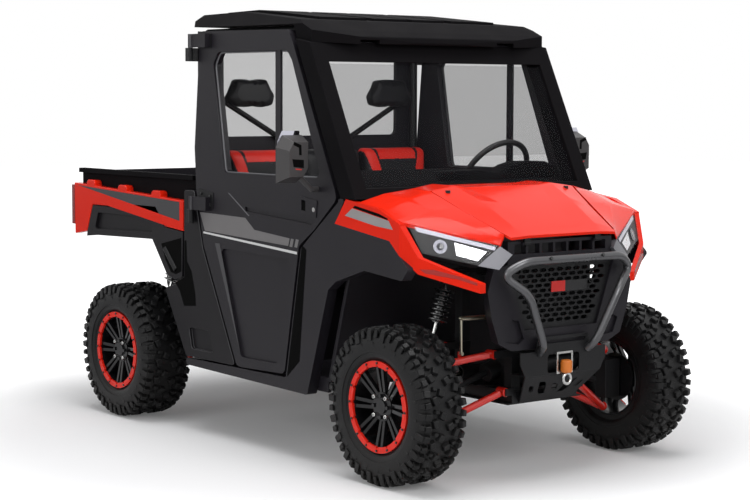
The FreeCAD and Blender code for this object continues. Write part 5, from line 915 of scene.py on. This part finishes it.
def red_of(seat_middle):
    """Tells the red faces of a back: a band across its top and a slanting wedge at each side."""

    def red(middle, normal):
        off = abs(middle.y - seat_middle)
        band = middle.z > 1.330 and off < 0.120
        wedge = 0.146 - (1.385 - middle.z) * 0.30
        return band or wedge < off < wedge + 0.056

    return red


for name, side in (
    ("right", (-0.617, -0.203)), ("middle", (-0.183, 0.183)), ("left", (0.203, 0.617)),
):
    cushion = foam_block(
        "cushion_" + name,
        side,
        [
            (-0.060, 0.722), (-0.060, 0.848), (0.150, 0.856), (0.262, 0.856), (0.280, 0.826),
            (0.272, 0.722),
        ],
        0.022,
    )
    stuffed(cushion, voxel=0.010, cap=0.010)
    stitched(cushion, axis=0, places=(0.045, 0.150))
    fitted(cushion, "chassis", seat_black, "seat", "seats")
    back = foam_block(
        "back_" + name,
        side,
        [(-0.160, 0.730), (-0.076, 0.730), (-0.192, 1.390), (-0.274, 1.396)],
        0.026,
    )
    stuffed(back, voxel=0.010, cap=0.010)
    stitched(back, axis=2, places=(0.930, 1.090))
    fitted(back, "chassis", seat_black, "seat", "seats")
    if name != "middle":
        second_finish(back, seat_red, red_of((side[0] + side[1]) / 2))

# Headrests: seven-cornered foam pads on the cage's brace, in the same vinyl.
low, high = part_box("headrests")
for name, way in (("right", 1), ("left", -1)):
    outline = [
        (-0.530, 1.732), (-0.345, 1.732), (-0.300, 1.650), (-0.312, 1.604), (-0.355, 1.594),
        (-0.530, 1.596), (-0.578, 1.635),
    ]
    pad = outlined(
        "headrest_pad_" + name,
        [(low[0] + 0.004, y * way, z) for y, z in outline],
        (0.060, 0, 0),
    )
    rolled(pad, 0.014, 4)
    stuffed(pad, voxel=0.005, cap=0.008)
    fitted(pad, "chassis", seat_black, "seat", "headrests")

# Dashboard moulding with a raised hood over its instruments, and the three-spoke steering wheel
# with its soft grained rim.
rounded("dashboard", 0.008, roof_black, 3)
binnacle = outlined(
    "instrument_binnacle",
    [(0.700, y, z) for y, z in (
        (-0.150, 1.262), (-0.110, 1.308), (0.100, 1.314), (0.230, 1.296), (0.310, 1.330),
        (0.380, 1.346), (0.530, 1.344), (0.596, 1.322), (0.606, 1.262),
    )],
    (0.110, 0, 0),
)
rolled(binnacle, 0.012, 4)
bpy.ops.object.shade_smooth_by_angle(angle=math.radians(40))
fitted(binnacle, "chassis", roof_black, "black")
wheel_grip = coat_of(
    "steering_grip", (0.022, 0.022, 0.023), (0.014, 0.014, 0.015),
    rough=0.5, grain=400, depth=0.0004, dust=0.05,
)
rounded("steering_wheel", 0.0015, wheel_grip, 2)

# Hood, cowl and front fenders: thin gloss mouldings in orange red with crisp creases.
red_paint = coat_of(
    "orange_red_gloss", (0.82, 0.022, 0.006), (0.76, 0.017, 0.004),
    rough=0.20, grain=900, depth=0.00002, dust=0.0, coat_weight=0.14, coat_roughness=0.10,
    specular_ior_level=0.12,
)


def hood_lip(middle, normal):
    """The black lip in the middle of the hood's front edge, over the slotted bar."""
    return middle.z < 1.0475 and middle.x > 1.455 and abs(middle.y) < 0.24


second_finish(rounded("hood", 0.003, red_paint, 3), powder_black, hood_lip)
rounded("cowl", 0.003, red_paint, 3)
rounded("front_fenders", 0.004, red_paint, 3)
# A darker red plate along the fender's crease by the lamp paints the shade under the crease.
fender_crease_painted_shade = coat_of(
    "fender_shade_red", (0.42, 0.014, 0.007), (0.34, 0.010, 0.005),
    rough=0.25, grain=900, depth=0.00002, dust=0.0, coat_weight=1.0, coat_roughness=0.05,
)

both_sides(
    outlined(
        "fender_crease_right",
        [
            (1.3152, -0.6721, 0.9315), (1.3294, -0.6518, 0.9142), (1.4073, -0.5404, 0.8892),
            (1.4550, -0.4722, 0.8620), (1.4550, -0.4722, 0.8740), (1.4108, -0.5354, 0.9016),
            (1.3506, -0.6216, 0.9290),
        ],
        (0.00082, -0.00057, 0),
    ),
    fender_crease_painted_shade,
    CHASSIS,
    "red",
)
fender_silver = coat_of(
    "fender_stripe_silver", (0.34, 0.32, 0.32), (0.28, 0.265, 0.265),
    rough=0.34, grain=900, depth=0.00004, dust=0.0,
)
for name, corners, finish in (
    (
        "stripe",
        [(0.864, 1.134), (0.915, 1.168), (1.168, 1.128), (1.196, 1.092), (1.080, 1.101)],
        fender_silver,
    ),
    (
        "dashes",
        [(0.920, 1.171), (0.934, 1.181), (1.100, 1.155), (1.160, 1.138), (1.162, 1.131)],
        painted_shade_and_decal_black,
    ),
):
    both_sides(on_flank("fender_%s_right" % name, corners), finish, CHASSIS, "red")
hood_pin = screw_head(0.011, 0.008, 16, 0.4)
pin_seats = [
    meeting("hood", (1.125, y, 1.24), (0, 0, 1)) - Vector((0, 0, 0.001)) for y in (-0.356, 0.356)
]
pins = stood(hood_pin, "hood_pins", pin_seats, (0, 0, 1))
fitted(pins, "hood", screw_black, "red")
bpy.data.objects.remove(hood_pin)

# Headlamps: a black bowl with a light strip along its top edge, a projector lens outboard and a
# bright stepped reflector inboard, under a clear cover.
bowl_black = coat_of(
    "lamp_bowl_black", (0.011, 0.011, 0.013), (0.007, 0.007, 0.008),
    rough=0.42, grain=600, depth=0.0, dust=0.0, specular_ior_level=0.3,
)
strip_white = coat_of(
    "light_strip", (0.52, 0.50, 0.62), (0.40, 0.38, 0.50),
    rough=0.20, grain=400, depth=0.0, dust=0.0, coat_weight=1.0,
)
reflector_bright = coat_of(
    "reflector", (0.90, 0.90, 0.92), (0.70, 0.70, 0.74),
    rough=0.10, grain=60, depth=0.0020, dust=0.0, metallic=0.85,
)
dark_chrome = coat_of(
    "dark_chrome", (0.14, 0.14, 0.16), (0.08, 0.08, 0.09),
    rough=0.15, grain=300, depth=0.0, dust=0.0, metallic=1.0,
)
lens_dark = coat_of(
    "projector_lens", (0.030, 0.032, 0.045), (0.015, 0.016, 0.024),
    rough=0.04, grain=200, depth=0.0, dust=0.0, coat_weight=1.0,
)
clear_cover = coat_of(
    "clear_cover", (0.10, 0.10, 0.11), (0.08, 0.08, 0.09),
    rough=0.03, grain=30, depth=0.0, dust=0.0, alpha=0.04, specular_ior_level=0.9,
)

# The four corners of the right lamp's lens, and the way that it faces.
lamp_top = Vector((1.235, -0.682, 1.128))
lamp_inner = Vector((1.459, -0.350, 1.025))
lamp_low = Vector((1.433, -0.450, 0.943))
lamp_outer = Vector((1.302, -0.649, 0.996))
lamp_face = (lamp_low - lamp_top).cross(lamp_inner - lamp_top).normalized()


def on_lamp(points, rise):
    """Points near the right lamp's lens, brought to its plane and lifted off it."""
    return [
        Vector(point) - lamp_face * ((Vector(point) - lamp_top).dot(lamp_face) - rise)
        for point in points
    ]


rounded("headlamps", 0.002, bowl_black, 2)
for name, corners, thick, finish in (
    (
        "light_strip_right",
        [
            (1.252, -0.650, 1.104), (1.447, -0.366, 1.018), (1.447, -0.372, 1.003),
            (1.262, -0.645, 1.083),
        ],
        0.003, strip_white,
    ),
    (
        "reflector_right",
        [
            (1.362, -0.520, 1.040), (1.436, -0.405, 1.000), (1.427, -0.447, 0.962),
            (1.375, -0.520, 0.985),
        ],
        0.002, reflector_bright,
    ),
):
    plate = outlined(name, on_lamp(corners, -0.0005), lamp_face * thick)
    both_sides(plate, finish, CHASSIS, "lamp")
projector = on_lamp([(1.332, -0.575, 1.022)], 0.0)
bezel = screw_head(0.030, 0.004, 28, 0.74)
both_sides(stood(bezel, "projector_ring_right", projector, lamp_face), dark_chrome, CHASSIS, "lamp")
bpy.data.objects.remove(bezel)
bpy.ops.object.select_all(action="DESELECT")
bpy.ops.mesh.primitive_uv_sphere_add(segments=24, ring_count=12, radius=0.023, scale=(1, 1, 0.30))
dome = bpy.context.object
bpy.ops.object.transform_apply(location=True, rotation=True, scale=True)
bpy.ops.object.shade_smooth()
both_sides(stood(dome, "projector_lens_right", projector, lamp_face), lens_dark, CHASSIS, "lamp")
bpy.data.objects.remove(dome)
lamp_corners = (lamp_top, lamp_inner, lamp_low, lamp_outer)
middle = sum(lamp_corners, Vector()) / 4
cover = on_lamp([corner.lerp(middle, 0.03) for corner in lamp_corners], 0.008)
plate = outlined("lamp_cover_right", cover, lamp_face * 0.0012)
both_sides(plate, clear_cover, CHASSIS, "lamp")

# Bumper cover with its faceted cheeks, the slotted bar under the hood with its grey wings, and the
# pierced grille, all moulded.
wing_grey = coat_of(
    "wing_satin_grey", (0.17, 0.17, 0.188), (0.135, 0.135, 0.150),
    rough=0.36, grain=900, depth=0.00012, metallic=0.3, dust=0.0,
)
rounded("cheeks", 0.004, cab_plastic, 3)
# The grey wings begin this far out from the middle.
WING_ROOT = 0.3105
slotted = rounded("slot_grille", 0.002, cab_plastic, 2)
second_finish(slotted, wing_grey, lambda middle, normal: abs(middle.y) > WING_ROOT)
rounded("mesh_grille", 0.0010, cast_black, 1)

# A finned radiator core between its two tanks fills most of the space behind the grille.
bpy.ops.object.select_all(action="DESELECT")
bpy.ops.mesh.primitive_cube_add(size=1, location=(1.391, 0.000, 0.790), scale=(0.040, 0.490, 0.290))
core = bpy.context.object
core.name = "radiator_core"
bpy.ops.object.transform_apply(location=True, rotation=True, scale=True)
for face in core.data.polygons:
    face.select = face.normal.x > 0.9
bpy.ops.object.mode_set(mode="EDIT")
bpy.ops.mesh.select_mode(type="FACE")
bpy.ops.mesh.inset(thickness=0.030, depth=-0.006)
bpy.ops.mesh.subdivide(number_cuts=24)
bpy.ops.mesh.inset(thickness=0.0012, depth=-0.003, use_individual=True)
bpy.ops.object.mode_set(mode="OBJECT")
fitted(core, "chassis", powder_black, "frame")

# A small blank plate in two tones, clipped to the grille.
badge_red = coat_of(
    "badge_red", (0.55, 0.020, 0.016), (0.46, 0.014, 0.012),
    rough=0.25, grain=700, depth=0.00003, dust=0.0,
)
badge_black = coat_of(
    "badge_black", (0.020, 0.020, 0.021), (0.013, 0.013, 0.014),
    rough=0.22, grain=700, depth=0.00003, dust=0.0,
)
for name, near, far, finish in (
    ("red", -0.052, 0.030, badge_red),
    ("black", 0.030, 0.165, badge_black),
):
    corners = [(near, 0.810), (far, 0.810), (far, 0.856), (near, 0.856)]
    plate = outlined("badge_" + name, [(1.4595, y, z) for y, z in corners], (0.004, 0, 0))
    fitted(plate, "chassis", finish, "black")

# Hooped bumper of bent tube over a folded winch plate, both in a satin dark grey.
hoop_grey = coat_of(
    "hoop_satin_grey", (0.120, 0.120, 0.125), (0.090, 0.090, 0.095),
    rough=0.28, grain=900, depth=0.0001, metallic=0.8, dust=0.0,
)
plate_black = coat_of(
    "plate_satin_black", (0.013, 0.013, 0.014), (0.008, 0.008, 0.009),
    rough=0.38, grain=700, depth=0.00015, dust=0.03, specular_ior_level=0.2,
)

half_hoop = [
    (1.488, -0.142, 0.552), (1.530, -0.156, 0.588), (1.557, -0.268, 0.818), (1.508, -0.378, 0.902),
    (1.550, -0.290, 0.960),
]
far_hoop = [(x, -y, z) for x, y, z in reversed(half_hoop)]
hoop = swept("bumper_hoop", half_hoop + far_hoop, radius=0.0185, bend=0.050)
fitted(hoop, "chassis", hoop_grey, "bar", "bumper_bar")
rounded("bull_plate", 0.0015, plate_black, 2)
hoop_screw = screw_head(0.0085, 0.005)
spots = [(1.5667, y, 0.9678) for y in (-0.155, 0.155)]
screws = stood(hoop_screw, "hoop_screws", spots, (1, 0, 0.5))
fitted(screws, "chassis", screw_black, "steel")
bpy.data.objects.remove(hoop_screw)

# Winch: black drum, bright fairlead frame and hook, and an orange rubber stop on the rope.
# The fairlead and the hook lie ahead of this, and the drum and its case behind it.
FAIRLEAD = 1.4905
winch = rounded("winch", 0.001, cast_black, 1)
second_finish(winch, bright_steel, lambda middle, normal: middle.x > FAIRLEAD)
stop_orange = coat_of(
    "stop_orange", (0.72, 0.20, 0.020), (0.60, 0.15, 0.012),
    rough=0.45, grain=300, depth=0.0004, dust=0.05,
)
bpy.ops.object.select_all(action="DESELECT")
bpy.ops.mesh.primitive_cylinder_add(
    vertices=28, radius=0.026, depth=0.056, location=(1.508, 0, 0.487)
)
stop = bpy.context.object
bpy.ops.object.transform_apply(location=True, rotation=True, scale=True)
rolled(stop, 0.010, 4)
bpy.ops.object.shade_smooth_by_angle(angle=math.radians(35))
fitted(stop, "chassis", stop_orange, "tyre")

# Cargo bed: a ribbed black tub with rolled top rails, red side panels with a dark wedge, black
# arch flares, upright red lamps and a drop tailgate.
rounded("bed_tub", 0.003, roof_black, 2)
rounded("bed_sides", 0.005, red_paint, 3)
rounded("bed_flares", 0.005, quarter_black, 3)
rounded("tailgate", 0.004, cab_plastic, 2)
lamp_red = coat_of(
    "tail_lamp_red", (0.30, 0.010, 0.010), (0.18, 0.006, 0.006),
    rough=0.10, grain=300, depth=0.0003, dust=0.05, coat_weight=1.0,
)
rounded("tail_lamps", 0.003, lamp_red, 2)
wedge_grey = coat_of(
    "wedge_grey", (0.034, 0.034, 0.038), (0.024, 0.024, 0.028),
    rough=0.34, grain=900, depth=0.00004,
)
BED = ("bed", "bed")
wedge = on_flank(
    "bed_wedge_right", [(-1.491, 1.170), (-0.480, 1.128), (-0.480, 1.035), (-1.278, 1.142)]
)
both_sides(wedge, wedge_grey, BED, "red")

# The red of each side runs on over the flare to a slanting edge. Below it, where the bed meets
# the cab, black plates paint the shade of an opening that shows the damper that steadies the
# tipping bed.
flare_red = on_flank(
    "flare_red_right",
    [(-1.330, 1.0940), (-0.704, 1.0940), (-0.629, 1.0165), (-0.475, 1.0030), (-0.475, 0.9890)],
)
both_sides(flare_red, red_paint, BED, "red")
for name, bodies, corners in (
    (
        "opening_upper_right",
        BED,
        [
            (-0.650, 0.912), (-0.464, 0.952), (-0.464, 0.786), (-0.515, 0.768), (-0.560, 0.776),
            (-0.610, 0.832),
        ],
    ),
    (
        "opening_lower_right",
        CHASSIS,
        [
            (-0.434, 0.940), (-0.418, 0.945), (-0.412, 0.840), (-0.372, 0.795), (-0.340, 0.690),
            (-0.333, 0.628), (-0.440, 0.618), (-0.480, 0.690), (-0.520, 0.726), (-0.436, 0.760),
        ],
    ),
):
    both_sides(on_flank(name, corners), painted_shade_and_decal_black, bodies)
damper_line = [(-0.618, -0.716, 0.890), (-0.570, -0.716, 0.843), (-0.516, -0.716, 0.790)]
damper = swept("bed_damper_right", damper_line, radius=0.015, bend=0.01)
both_sides(damper, cast_black, BED)
